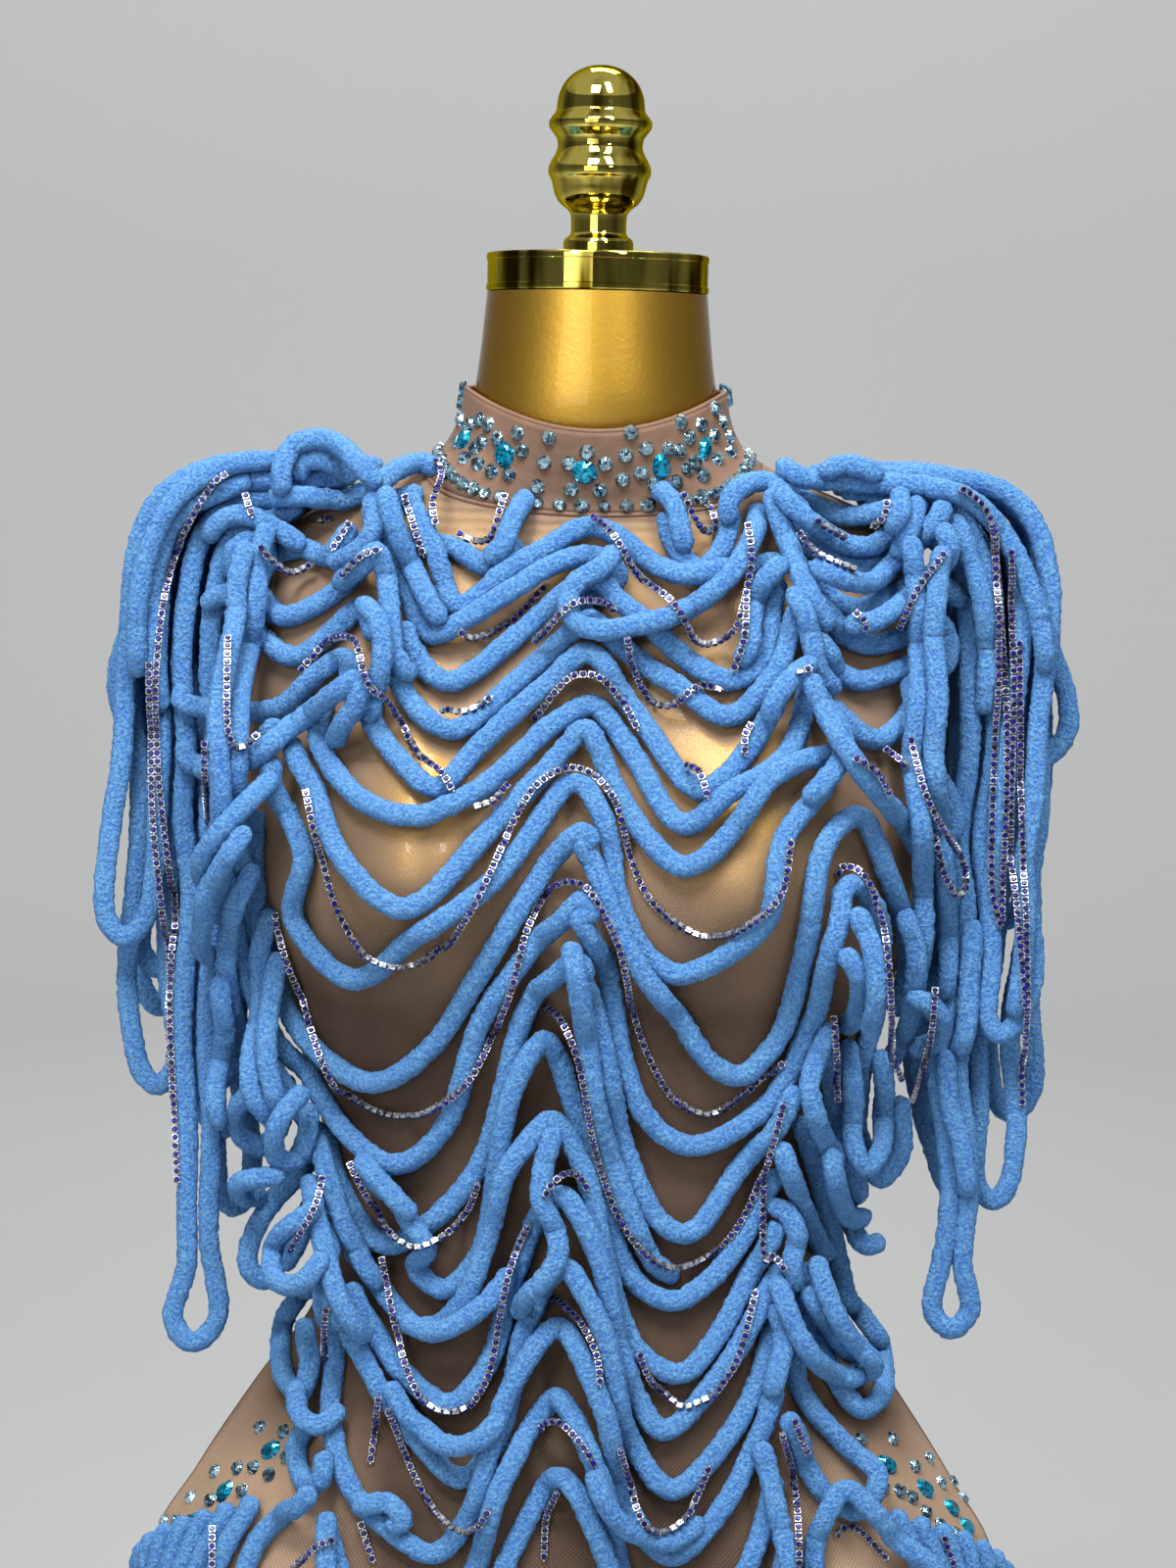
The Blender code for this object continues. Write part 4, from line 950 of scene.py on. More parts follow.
def middle_line(node):
    """The route of a cord, read from the four-cornered tube that the frame holds for it."""
    bm = bmesh.new()
    bm.from_mesh(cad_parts[node].data)
    bmesh.ops.remove_doubles(bm, verts=bm.verts, dist=FINE_WELD)
    bm.verts.index_update()
    for edge in bm.edges:
        corners = {vert for face in edge.link_faces for vert in face.verts}
        rings = rings_from(bm, corners) if len(corners) == 4 else None
        if rings:
            break
    ordered = [sorted(ring, key=lambda vert: vert.index) for ring in rings]
    route = [sum((vert.co for vert in ring), Vector()) / 4 for ring in ordered]
    bm.free()
    return route


def smooth_route(points, step):
    """Points about a step apart on a smooth curve that passes through all of these."""
    ends = [2 * points[0] - points[1], *points, 2 * points[-1] - points[-2]]
    route = []
    for before, here, there, after in zip(ends, ends[1:], ends[2:], ends[3:]):
        first = math.sqrt((here - before).length)
        second = first + math.sqrt((there - here).length)
        third = second + math.sqrt((after - there).length)
        count = max(1, round((there - here).length / step))
        for i in range(count):
            share = i / count
            t = first + (second - first) * share
            near = before.lerp(here, t / first).lerp(here.lerp(there, share), t / second)
            away = there.lerp(after, (t - second) / (third - second))
            far = here.lerp(there, share).lerp(away, (t - first) / (third - first))
            route.append(near.lerp(far, share))
    route.append(points[-1].copy())
    return route


def round_end(i, count):
    """A cord's share of its radius near an end, so that it closes as half a ball."""
    reach = min(i, count - 1 - i) * CORD_STEP + CORD_END_FLAT
    return math.sqrt(1 - max(0.0, 1 - reach / CORD_RADIUS) ** 2)


def pile_cord(name, routes):
    """Cords with round ends and an uneven pile along these routes, as one mesh."""
    bm = tubes(name, routes, CORD_RADIUS, CORD_SIDES, swell=round_end)
    for vert in bm.verts:
        lump = noise.noise(vert.co * PILE_LUMPS) * PILE_LUMP
        lump += noise.noise(vert.co * CORD_SWELLS) * CORD_SWELL
        vert.co += vert.normal * lump
    cord = object_from(name, bm, pile.material)
    cord.data.shade_smooth()
    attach(cord, "root")
    return cord


pile = Finish("blue_pile", {"Roughness": 0.92, "Sheen Weight": 0.55, "Sheen Roughness": 0.40,
                            "Sheen Tint": PILE_SHEEN, "Specular IOR Level": 0.15})
tufts = pile.spread(pile.grain(PILE_TUFTS, 4.0), 0.36, 0.66)
fibres = pile.spread(pile.grain(PILE_FIBRES, 2.0), 0.30, 0.70)
patches = pile.spread(pile.grain(PILE_PATCHES, 2.0), 0.3, 0.7)
# Painted shade: the pile is darker in the pits between its tufts and lighter on their tops, with random
# tone from fibres and patches
shade = pile.blend(tufts * 0.60 + fibres * 0.3 + patches * 0.10, PILE_DEEP_TONE_AND_PIT_SHADE, PILE_LIGHT)
pile.finish(Base_Color=shade, Normal=pile.bump(tufts + fibres * 0.4, PILE_DEPTH))

swag_nodes = [node for node in sorted(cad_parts) if "swag" in node or "loop" in node
              or node.startswith(("shoulder_left_", "shoulder_right_"))]
swags = []
for node in swag_nodes:
    swag = pile_cord(node + "_pile", [smooth_route(middle_line(node), CORD_STEP)])
    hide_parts(node)
    swags.append(swag)


# The shoulder fringe
# Long hairpins of the cord run out over each shoulder and hang from its tip, five deep and two
# across. They sway a little, and the longest one on each side closes into a ring at its foot.
SHOULDER_PLANES = [-0.027, -0.013, 0.001, 0.015, 0.029]
# A loop's plane counts from the front, its place counts outward, and the rest is in metres
Loop = namedtuple("Loop", "plane place inner outer foot")
Leg = namedtuple("Leg", "start start_height reach root")
SHOULDER_LEGS = [Leg(0.134, 0.8865, 0.1745, 0.8780), Leg(0.125, 0.8920, 0.1870, 0.8864),
                 Leg(0.113, 0.8970, 0.1995, 0.8948), Leg(0.100, 0.9020, 0.2120, 0.9032)]
SHOULDER_HEAD_X = 0.146
SHOULDER_FAN = 1.25
SHOULDER_UNEVEN = 0.0022
SHOULDER_UNEVEN_DEPTH = 0.00352
# A leg's way over the shoulder, as (share of its reach, drop below its root)
SHOULDER_ARCH = [(0.0, 0.0), (0.32, 0.0010), (0.64, 0.0075), (0.84, 0.0200), (0.95, 0.0400),
                 (1.0, 0.0700)]
STRAIGHT_ABOVE_FOOT = 0.090
STRAIGHT_SHARE = 0.6
RING_BELOW = 0.520
RING_HEIGHT = 4.2
RING_PINCH = 0.45
CORD_DISTANCE = 0.0095
SWAY_SIDEWAYS = 0.0055
SWAY_FORWARD = 0.0026
SWAY_WAVES = 15
SWAY_REACH = 0.120
ARMPIT_BELOW_ROOT = 0.020
LEFT_LOOPS = [
    Loop(0, 0, 0.167, 0.187, 0.493), Loop(0, 1, 0.198, 0.216, 0.684), Loop(1, 0, 0.166, 0.180, 0.613),
    Loop(1, 1, 0.192, 0.208, 0.612), Loop(2, 0, 0.165, 0.179, 0.664), Loop(2, 1, 0.191, 0.206, 0.664),
    Loop(3, 0, 0.166, 0.184, 0.584), Loop(3, 1, 0.197, 0.222, 0.772), Loop(4, 0, 0.166, 0.179, 0.541),
    Loop(4, 1, 0.192, 0.210, 0.640),
]
RIGHT_LOOPS = [
    Loop(0, 0, 0.165, 0.182, 0.506), Loop(0, 1, 0.190, 0.205, 0.647), Loop(1, 0, 0.167, 0.181, 0.684),
    Loop(1, 1, 0.190, 0.204, 0.564), Loop(2, 0, 0.166, 0.179, 0.600), Loop(2, 1, 0.198, 0.224, 0.772),
    Loop(3, 0, 0.166, 0.181, 0.560), Loop(3, 1, 0.194, 0.211, 0.600), Loop(4, 0, 0.166, 0.180, 0.640),
    Loop(4, 1, 0.192, 0.210, 0.690),
]


def shoulder_leg(side, plane, leg):
    """One leg of a hanging loop, from the shoulder's slope out over its tip."""
    shape = SHOULDER_LEGS[leg]
    run = shape.reach - SHOULDER_HEAD_X
    points = [Vector((side * shape.start, plane, shape.start_height))]
    for out, drop in SHOULDER_ARCH:
        points.append(Vector((side * (SHOULDER_HEAD_X + run * out), plane, shape.root - drop)))
    for point in points:
        point.z += noise.noise(Vector((point.x * 24, plane * 70, leg * 3.7))) * SHOULDER_UNEVEN
        point.y += noise.noise(Vector((point.x * 30, plane * 70, leg * 5.1 + 9))) * SHOULDER_UNEVEN_DEPTH
    return points


def shoulder_loop(side, loop):
    """A hairpin of cord: over the shoulder, down, round at its foot and back up."""
    plane = SHOULDER_PLANES[loop.plane]
    down = shoulder_leg(side, plane, 2 * loop.place)
    up = shoulder_leg(side, plane, 2 * loop.place + 1)[::-1]
    turn = (loop.outer - loop.inner) / 2
    low = plane * SHOULDER_FAN
    halfway = (plane + low) / 2
    straight = min(STRAIGHT_ABOVE_FOOT, (down[-1].z - loop.foot) * STRAIGHT_SHARE)
    pinch = turn * RING_PINCH if loop.foot < RING_BELOW else 0.0
    bend = [(loop.inner + pinch, halfway, straight), (loop.inner, low, turn), (loop.inner + turn, low, 0.0),
            (loop.outer, low, turn), (loop.outer - pinch, halfway, straight)]
    if pinch:
        bend.insert(1, (loop.inner + pinch, low, turn * RING_HEIGHT))
        bend.insert(-1, (loop.outer - pinch, low, turn * RING_HEIGHT))
    foot = [Vector((side * x, depth, loop.foot + rise)) for x, depth, rise in bend]
    route = smooth_route(down + foot + up, CORD_STEP)
    armpit = SHOULDER_LEGS[0].root - ARMPIT_BELOW_ROOT
    for point in route:
        below = max(0.0, armpit - point.z)
        sway = min(1.0, below / SWAY_REACH)
        wave = Vector((loop.plane * 0.35 + side * 3.1, loop.place * 1.7, point.z * SWAY_WAVES))
        point.x += side * noise.noise(wave) * SWAY_SIDEWAYS * sway * 2
        point.y += noise.noise(wave + Vector((40.0, 0.0, 0.0))) * SWAY_FORWARD * sway * 2
        if below > 0.0:
            clear = float(torso("half_width", point.z)) + CORD_DISTANCE
            point.x = side * max(side * point.x, clear)
    return route


for side, word, loops in ((-1, "left", LEFT_LOOPS), (1, "right", RIGHT_LOOPS)):
    fringe = pile_cord(f"shoulder_loops_{word}", [shoulder_loop(side, loop) for loop in loops])
    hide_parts(f"shoulder_fringe_{word}")
    swags.append(fringe)


# The hip fringe
# Short strands of the cord hang side by side from a sloping strip just under each hip's stones.
# They follow the hip, sway a little and end unevenly.
HIP_STRIP = ((0.90, 0.424), (1.50, 0.374))
HIP_STRANDS = 8
HIP_STRAND_DISTANCE = 0.0102
HIP_STRAND_ROOT = -0.006
HIP_STRAND_LENGTH = 0.105
HIP_STRAND_UNEVEN = 0.020
HIP_STRAND_SWAY = 0.055
HIP_STRAND_BENDS = (0.25, 0.50, 0.75, 1.0)

for side, word in ((-1, "left"), (1, "right")):
    (start, top), (end, bottom) = HIP_STRIP
    routes = []
    for i in range(HIP_STRANDS):
        share = (i + 0.5) / HIP_STRANDS
        turn, height = side * (start + (end - start) * share), top + (bottom - top) * share
        length = HIP_STRAND_LENGTH + noise.noise(Vector((i * 0.9, side, 2.3))) * HIP_STRAND_UNEVEN
        points = []
        for drop in (HIP_STRAND_ROOT, 0.0, *(length * bend for bend in HIP_STRAND_BENDS)):
            wave = noise.noise(Vector((i * 0.35, drop * 22, side * 6.1))) * HIP_STRAND_SWAY
            swing = turn + wave * max(0.0, drop) / length
            points.append(Vector(off_body(swing, height - drop, HIP_STRAND_DISTANCE)))
        routes.append(smooth_route(points, CORD_STEP))
    fringe = pile_cord(f"hip_strands_{word}", routes)
    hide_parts(f"hip_fringe_{word}")
    swags.append(fringe)


# The loose cords
# Shorter lengths of the same cord, sewn on last: joins that carry a swag on over its tack, wraps over
# both shoulders, and tails down both sides. Each rests on what is under it, and its ends tuck in.
LAY_STEP = 0.0025
LAY_FROM = -0.30
LAY_BACK = 0.03
LAY_FREE = -0.036
LAY_ROUNDING = 26.0
TUCK_REACH = 0.016
TUCK_DEPTH = 0.0065
TOUCH_SHARES = (-0.9, -0.5, 0.0, 0.5, 0.9)
# Each route is a list of (x, height) in millimetres, seen from the front
SWAG_JOINS = [
    [(-97, 873), (-99, 884), (-97, 894), (-89, 902), (-78, 905), (-71, 901)],
    [(-47, 863), (-40, 870), (-36, 881), (-30, 891)],
    [(-119, 860), (-109, 863), (-101, 870), (-97, 879), (-96, 888)],
    [(-114, 850), (-104, 858), (-96, 866), (-92, 856), (-89, 839), (-87, 823), (-79, 811)],
    [(-102, 844), (-94, 837), (-91, 824), (-93, 811), (-96, 800), (-97, 792)],
    [(-152, 771), (-137, 784), (-122, 796), (-110, 806), (-101, 811), (-102, 801), (-109, 790),
     (-113, 781)],
    [(-93, 893), (-87, 875), (-81, 860), (-73, 846), (-66, 835)],
    [(29, 896), (36, 890), (39, 880), (42, 869)],
    [(61, 881), (62, 892), (70, 899), (81, 899), (89, 891), (97, 885)],
    [(80, 896), (84, 883), (89, 870), (94, 857), (101, 845), (107, 836)],
    [(83, 896), (92, 887), (103, 879), (116, 872), (128, 872), (136, 877)],
    [(86, 866), (77, 856), (72, 842), (71, 829), (67, 819)],
    [(11, 869), (4, 861), (-3, 857), (-9, 851), (-10, 844), (-6, 837), (4, 834), (18, 836), (34, 840),
     (45, 845)],
    [(114, 837), (127, 839), (140, 846), (151, 852), (163, 852), (170, 846)],
    [(89, 853), (95, 842), (98, 831), (102, 817), (110, 808)],
    [(96, 762), (103, 770), (110, 778), (113, 785), (111, 793), (106, 800), (101, 806)],
    [(100, 822), (93, 818), (86, 812), (81, 804), (79, 796)],
    [(-114, 574), (-123, 560), (-133, 539), (-137, 531)],
    [(-115, 563), (-113, 550), (-116, 536), (-110, 525), (-106, 515)],
    [(-6, 698), (-1, 673), (3, 646), (8, 617), (17, 588), (26, 565), (34, 548), (44, 539)],
    [(-12, 612), (-16, 596), (-17, 582), (-11, 569), (-9, 558), (-15, 546), (-22, 537), (-27, 524)],
    [(-79, 518), (-66, 516), (-53, 522), (-39, 533), (-30, 544)],
    [(114, 696), (121, 686), (123, 669), (121, 652)],
    [(119, 714), (126, 699), (129, 680), (128, 658)],
    [(112, 658), (107, 646), (102, 633), (105, 619), (111, 603), (119, 589)],
    [(90, 604), (95, 589), (101, 574), (108, 556), (116, 540)],
    [(86, 573), (94, 570), (99, 560), (97, 547), (99, 535)],
    [(-122, 595), (-116, 580), (-110, 565), (-104, 552), (-98, 541), (-90, 531)],
    [(-125, 577), (-119, 561), (-113, 545), (-108, 532), (-102, 521), (-96, 511)],
    [(-100, 591), (-93, 585), (-84, 577), (-75, 568)],
    [(104, 534), (111, 522), (119, 509), (129, 496)],
    [(90, 528), (94, 514), (91, 501), (88, 490)],
    [(-85, 490), (-74, 476), (-59, 468), (-44, 472), (-33, 482)],
    [(8, 462), (16, 445), (28, 432), (44, 427), (58, 434)],
    [(179, 699), (178, 676), (177, 652), (175, 638)],
    [(202, 714), (202, 686), (199, 657)],
    [(168, 638), (170, 615), (176, 596), (180, 572)],
]
SHOULDER_WRAPS = [
    [(-157, 896), (-171, 890), (-184, 883), (-193, 873), (-198, 859), (-201, 843), (-200, 828),
     (-197, 790)],
    [(-146, 905), (-164, 903), (-178, 896), (-188, 888), (-196, 876), (-202, 860), (-206, 840),
     (-207, 806)],
    [(-135, 896), (-132, 904), (-125, 906), (-117, 903), (-109, 897)],
    [(-141, 890), (-141, 903), (-136, 912), (-125, 915), (-114, 912), (-105, 904), (-96, 895)],
    [(-176, 868), (-172, 875), (-163, 880), (-154, 879), (-144, 874), (-132, 866)],
    [(-165, 852), (-163, 864), (-155, 869), (-149, 865), (-151, 854), (-155, 844)],
    [(-177, 838), (-170, 843), (-162, 843), (-154, 840), (-148, 838)],
    [(-186, 801), (-187, 795), (-180, 792), (-168, 791), (-156, 789)],
    [(-186, 775), (-184, 768), (-176, 764), (-165, 765), (-156, 769)],
    [(84, 908), (94, 902), (106, 901), (124, 900), (141, 900), (153, 898), (163, 891), (171, 880),
     (178, 862), (181, 840)],
    [(103, 904), (112, 908), (121, 907), (130, 903)],
    [(150, 899), (165, 896), (178, 888), (190, 874), (199, 856), (205, 838), (209, 816)],
    [(163, 886), (170, 870), (176, 854), (180, 836), (182, 819), (181, 796)],
    [(98, 864), (112, 858), (126, 856), (140, 867), (152, 879), (159, 892)],
    [(138, 867), (143, 880), (147, 893)],
    [(134, 879), (138, 887), (138, 897)],
    [(148, 856), (157, 862), (161, 871), (157, 882)],
    [(152, 842), (158, 838), (164, 828), (160, 817), (152, 818)],
]
SIDE_TAILS = [
    [(-148, 876), (-151, 858), (-152, 839), (-156, 808), (-155, 777), (-158, 745), (-156, 716)],
    [(-157, 868), (-160, 850), (-160, 830), (-164, 794), (-162, 759), (-165, 723), (-167, 694)],
    [(-139, 766), (-155, 750), (-165, 738), (-171, 728), (-172, 716)],
    [(-150, 744), (-161, 727), (-169, 712), (-172, 696), (-175, 684), (-169, 672)],
    [(-150, 722), (-158, 706), (-163, 688), (-164, 666), (-161, 648), (-158, 627)],
    [(-145, 700), (-149, 676), (-148, 655), (-151, 636), (-150, 620), (-140, 603)],
    [(-140, 680), (-143, 656), (-143, 636), (-138, 612)],
    [(-126, 621), (-135, 611), (-139, 599), (-138, 588), (-131, 586), (-126, 596), (-125, 610)],
    [(-167, 669), (-165, 642), (-169, 618), (-167, 598)],
    [(-136, 580), (-148, 579), (-157, 574), (-155, 566), (-147, 564)],
    [(-119, 568), (-131, 560), (-139, 549), (-138, 537), (-127, 536), (-114, 550)],
    [(-128, 486), (-126, 473), (-117, 469), (-107, 475)],
    [(-99, 434), (-90, 438), (-81, 437), (-77, 431), (-84, 427)],
    [(-112, 430), (-111, 410), (-105, 388)],
    [(97, 816), (101, 806), (108, 793), (118, 778), (131, 762), (145, 745), (155, 726), (159, 708),
     (157, 694)],
    [(145, 812), (149, 790), (156, 773), (166, 757), (169, 744), (163, 737), (158, 747)],
    [(143, 876), (146, 857), (148, 836), (148, 809), (146, 774), (151, 738), (154, 702), (153, 672)],
    [(157, 872), (155, 852), (154, 832), (156, 806), (155, 779), (160, 748), (165, 716), (168, 684),
     (167, 664)],
    [(144, 708), (150, 690), (151, 668), (149, 645), (142, 628)],
    [(137, 640), (140, 615), (138, 595), (131, 588), (125, 598), (124, 620), (121, 645)],
    [(148, 668), (157, 665), (164, 655), (161, 643), (152, 638)],
    [(113, 600), (118, 578), (126, 560), (134, 560)],
    [(108, 548), (116, 527), (125, 511), (137, 495), (131, 485)],
    [(90, 540), (102, 514), (117, 495), (131, 489)],
    [(84, 468), (92, 438), (100, 404), (103, 380)],
]


def surface_of(pieces):
    """What a strand can rest on, as a tree that answers where a ray meets it."""
    bm = bmesh.new()
    for piece in pieces:
        bm.from_mesh(piece.data)
    tree = BVHTree.FromBMesh(bm)
    bm.free()
    return tree


def first_touch(trees, x, height, share, radius):
    """How far back a ball can go before its edge at this share of its radius touches something."""
    start, onward = Vector((x, LAY_FROM, height)), Vector((0.0, 1.0, 0.0))
    met = [tree.ray_cast(start, onward, LAY_BACK - LAY_FROM)[0] for tree in trees]
    touched = [place.y for place in met if place]
    return min(touched) - radius * math.sqrt(1 - share * share) if touched else None


def laid(points, radius, trees, rounding=LAY_ROUNDING, tuck=TUCK_DEPTH):
    """A strand's middle line where it rests on what is under it, from its route seen from the front."""
    seen = smooth_route([Vector((x, 0.0, height)) / 1000 for x, height in points], LAY_STEP)
    places, depths = [], []
    for i, point in enumerate(seen):
        onward = (seen[min(i + 1, len(seen) - 1)] - seen[max(i - 1, 0)]).normalized()
        across = Vector((onward.z, 0.0, -onward.x)) * radius
        touches = [first_touch(trees, *(point + across * share).xz, share, radius)
                   for share in TOUCH_SHARES]
        touches = [depth for depth in touches if depth is not None]
        if touches:
            places.append(i * LAY_STEP)
            depths.append(min(touches))
    along = np.arange(len(seen)) * LAY_STEP
    resting = np.interp(along, places, depths) if places else np.full(len(seen), LAY_FREE)
    apart = along[:, None] - along[None, :]
    resting = (resting[None, :] + rounding * apart * apart).min(axis=1)
    to_end = np.minimum(along, along[::-1])
    resting += tuck * np.clip(1 - to_end / TUCK_REACH, 0.0, 1.0) ** 2
    return [Vector((point.x, depth, point.z)) for point, depth in zip(seen, resting)]


under = [surface_of([front_net, *back_nets, collar, *swags])]
loose = []
for kind, routes in (("swag_join", SWAG_JOINS), ("shoulder_wrap", SHOULDER_WRAPS),
                     ("side_tail", SIDE_TAILS)):
    for i, route in enumerate(routes):
        middle = smooth_route(laid(route, CORD_RADIUS, under), CORD_STEP)
        cord = pile_cord(f"{kind}_{i + 1:02d}", [middle])
        under.append(surface_of([cord]))
        loose.append(cord)


# The stones
# Flat-backed glass, foiled behind and glued on one by one: teal ones as long as a fingernail, pale
# blue ones round them, and a close row of the pale ones along the collar's foot.
Gem = namedtuple("Gem", "x height width length lean pinch")
# x, height, width and length are in millimetres, and lean is in degrees from upright
TEAL_GEMS = [
    Gem(-58, 916, 8.8, 12.6, 20, 0.0), Gem(-40, 910, 11.0, 12.8, 8, 0.5),
    Gem(-4, 903, 12.0, 12.4, 0, 0.2), Gem(30, 906, 9.2, 12.6, -18, 0.5),
    Gem(49, 914, 7.6, 12.6, 12, 0.9), Gem(-141, 448, 8.8, 13.0, 55, 0.1),
    Gem(-163, 425, 8.8, 13.0, 30, 0.1), Gem(-180, 407, 8.6, 12.4, 25, 0.1),
    Gem(-193, 393, 8.6, 12.4, 20, 0.1), Gem(145, 446, 8.8, 13.0, -52, 0.1),
    Gem(164, 431, 8.8, 13.0, -45, 0.1), Gem(178, 418, 8.6, 12.4, -38, 0.1),
    Gem(186, 408, 8.6, 12.4, -30, 0.1),
]
PALE_ROUND = 7.4
PALE_GEMS = [
    (-60, 932), (-60, 925), (-57, 921), (-51, 925), (-55, 923), (-61, 914), (-53, 912), (-58, 907),
    (-47, 923), (-50, 915), (-52, 905), (-46, 902), (-43, 917), (-34, 920), (-32, 912), (-38, 901),
    (-20, 918), (-22, 907), (-25, 896), (-11, 907), (-3, 912), (5, 907), (-10, 895), (3, 895),
    (16, 921), (14, 911), (13, 900), (23, 914), (21, 903), (33, 914), (27, 898), (37, 899),
    (38, 926), (38, 913), (42, 919), (42, 905), (47, 925), (53, 920), (45, 908), (55, 909), (49, 902),
    (53, 932), (57, 926), (60, 919), (61, 912),
    (-128, 465), (-135, 457), (-147, 455), (-133, 447), (-149, 439), (-141, 438), (-157, 436), (-169, 430),
    (-154, 428), (-159, 418), (-170, 419), (-181, 415), (-172, 410), (-188, 404), (-175, 400), (-186, 396),
    (-195, 399), (-188, 387), (130, 452), (132, 459), (136, 447), (148, 455), (143, 437), (151, 434),
    (159, 441), (167, 440), (157, 430), (164, 422), (173, 429), (182, 423), (171, 415), (179, 409),
    (187, 415),
]
# In millimetres: where the collar's stones begin, and how they are repeated on its back
COLLAR_STONES_ABOVE = 880
BACK_STONES_HIGHER = 22
BACK_OPENING = 10
THROUGH_BODY = 0.6
GEM_SIDES = 10
GEM_TABLE = 0.60
GEM_HEIGHT = 0.36
GEM_DEEPEST = 0.0024
GEM_SUNK = 0.25
GEM_POINT = 0.75
FOOT_ROW_RISE = 0.0045
FOOT_ROW_PITCH = 0.0068
FOOT_ROW_SIZES = (0.86, 0.98, 1.10)
FOOT_ROW_LEAN = 17
# Painted reflections on the stones: the size of their patches and of their glints, and the glints' bump
PAINTED_REFLECTION_PATCHES = 620
PAINTED_GLINT_GRAINS = 900
GLINT_BUMP_DEPTH = 0.00006
TEAL_LIGHT = colour(0, 178, 212)
TEAL_DEEP = colour(0, 62, 96)
PALE_LIGHT = colour(176, 212, 226)
PALE_DEEP = colour(26, 50, 68)


def glass(name, light, deep, gloss):
    """Foiled glass with painted reflections: flat patches painted brighter and darker, and fine painted
    glints that also bump it.
    """
    finish = Finish(name, {"Metallic": 0.85 * gloss, "Roughness": 0.30 - 0.22 * gloss,
                           "Coat Weight": 0.60 * gloss, "Coat Roughness": 0.03})
    values = {"Vector": finish.place(), "Scale": PAINTED_REFLECTION_PATCHES}
    # Painted reflections: flat cells of brighter and darker colour, with fine painted glints
    cells = finish.add("ShaderNodeTexVoronoi", {}, values, output=1)
    patches = finish.spread(finish.axes(cells)[0], 0.25, 0.80)
    painted_glints = finish.spread(finish.grain(PAINTED_GLINT_GRAINS, 1.0), 0.40, 0.60)
    finish.finish(Base_Color=finish.blend(patches * 0.80 + painted_glints * 0.20, light, deep),
                  Normal=finish.bump(painted_glints, GLINT_BUMP_DEPTH))
    return finish.material


def cut_stone(pinch):
    """A stone one across with a flat back at its own foot. A pinch draws one end of it to a point."""
    bm = bmesh.new()
    bmesh.ops.create_cone(bm, cap_ends=True, segments=GEM_SIDES, radius1=0.5, radius2=0.5 * GEM_TABLE,
                          depth=1.0)
    top = [vert for vert in bm.verts if vert.co.z > 0]
    bmesh.ops.rotate(bm, verts=top, matrix=Matrix.Rotation(math.pi / GEM_SIDES, 3, "Z"))
    bmesh.ops.translate(bm, verts=bm.verts, vec=(0.0, 0.0, 0.5))
    girdle = [face for face in bm.faces if abs(face.normal.z) > 0.99 and face.calc_center_median().z < 0.1]
    rim = bmesh.ops.extrude_face_region(bm, geom=girdle)["geom"]
    bmesh.ops.translate(bm, verts=[part for part in rim if isinstance(part, bmesh.types.BMVert)],
                        vec=(0.0, 0.0, -GEM_SUNK))
    for vert in bm.verts:
        vert.co.x *= 1 - pinch * max(0.0, vert.co.y * 2) ** 2 * GEM_POINT
    bmesh.ops.delete(bm, geom=girdle, context="FACES_ONLY")
    bmesh.ops.triangulate(bm, faces=bm.faces)
    bmesh.ops.recalc_face_normals(bm, faces=bm.faces)
    mesh = bpy.data.meshes.new("cut_stone")
    bm.to_mesh(mesh)
    bm.free()
    return mesh


def gem_place(point, outward, gem):
    """The place and size of one stone on a surface that faces outward."""
    up = Vector((0.0, 0.0, 1.0)) - outward * outward.z
    side = up.normalized().cross(outward)
    deep = min(min(gem.width, gem.length) / 1000 * GEM_HEIGHT, GEM_DEEPEST)
    turn = Matrix.Rotation(math.radians(-gem.lean), 4, "Z")
    size = Matrix.Diagonal((gem.width / 1000, gem.length / 1000, deep, 1.0))
    return seated(point, outward, side) @ turn @ size


def glued(gems, cloths, facing=1):
    """Places of stones on the cloth that is seen at each one's (x, height) from the front or the back."""
    places = []
    for gem in gems:
        start = Vector((gem.x * facing / 1000, LAY_FROM * facing, gem.height / 1000))
        hit, outward, _, _ = cloths.ray_cast(start, Vector((0.0, facing, 0.0)), THROUGH_BODY)
        if hit is None:
            hit, outward, _, _ = cloths.find_nearest(start * Vector((1.0, 0.0, 1.0)))
        lift = COLLAR_THICKNESS if gem.height > COLLAR_STONES_ABOVE else NET_THICKNESS
        places.append(gem_place(hit + outward * lift, outward, gem))
    return places


collar_side, hip_side = surface_of([collar]), surface_of([front_net, *back_nets])
pale_gems = [Gem(x, height, PALE_ROUND, PALE_ROUND, 0, 0.0) for x, height in PALE_GEMS]
teal_glass = glass("teal_glass", TEAL_LIGHT, TEAL_DEEP, 0.8)
pale_glass = glass("pale_glass", PALE_LIGHT, PALE_DEEP, 1.0)
for word, gems, finish in (("teal", TEAL_GEMS, teal_glass), ("pale", pale_gems, pale_glass)):
    stones = []
    for pinch in sorted({gem.pinch for gem in gems}):
        shape = cut_stone(pinch)
        alike = [gem for gem in gems if gem.pinch == pinch]
        high = [gem for gem in alike if gem.height > COLLAR_STONES_ABOVE]
        low = [gem for gem in alike if gem.height <= COLLAR_STONES_ABOVE]
        behind = [gem._replace(height=gem.height + BACK_STONES_HIGHER) for gem in high
                  if abs(gem.x) > BACK_OPENING]
        seats = glued(high, collar_side) + glued(low, hip_side) + glued(behind, collar_side, facing=-1)
        stones += [(shape, seat) for seat in seats]
    copies(f"{word}_stones", stones, finish)

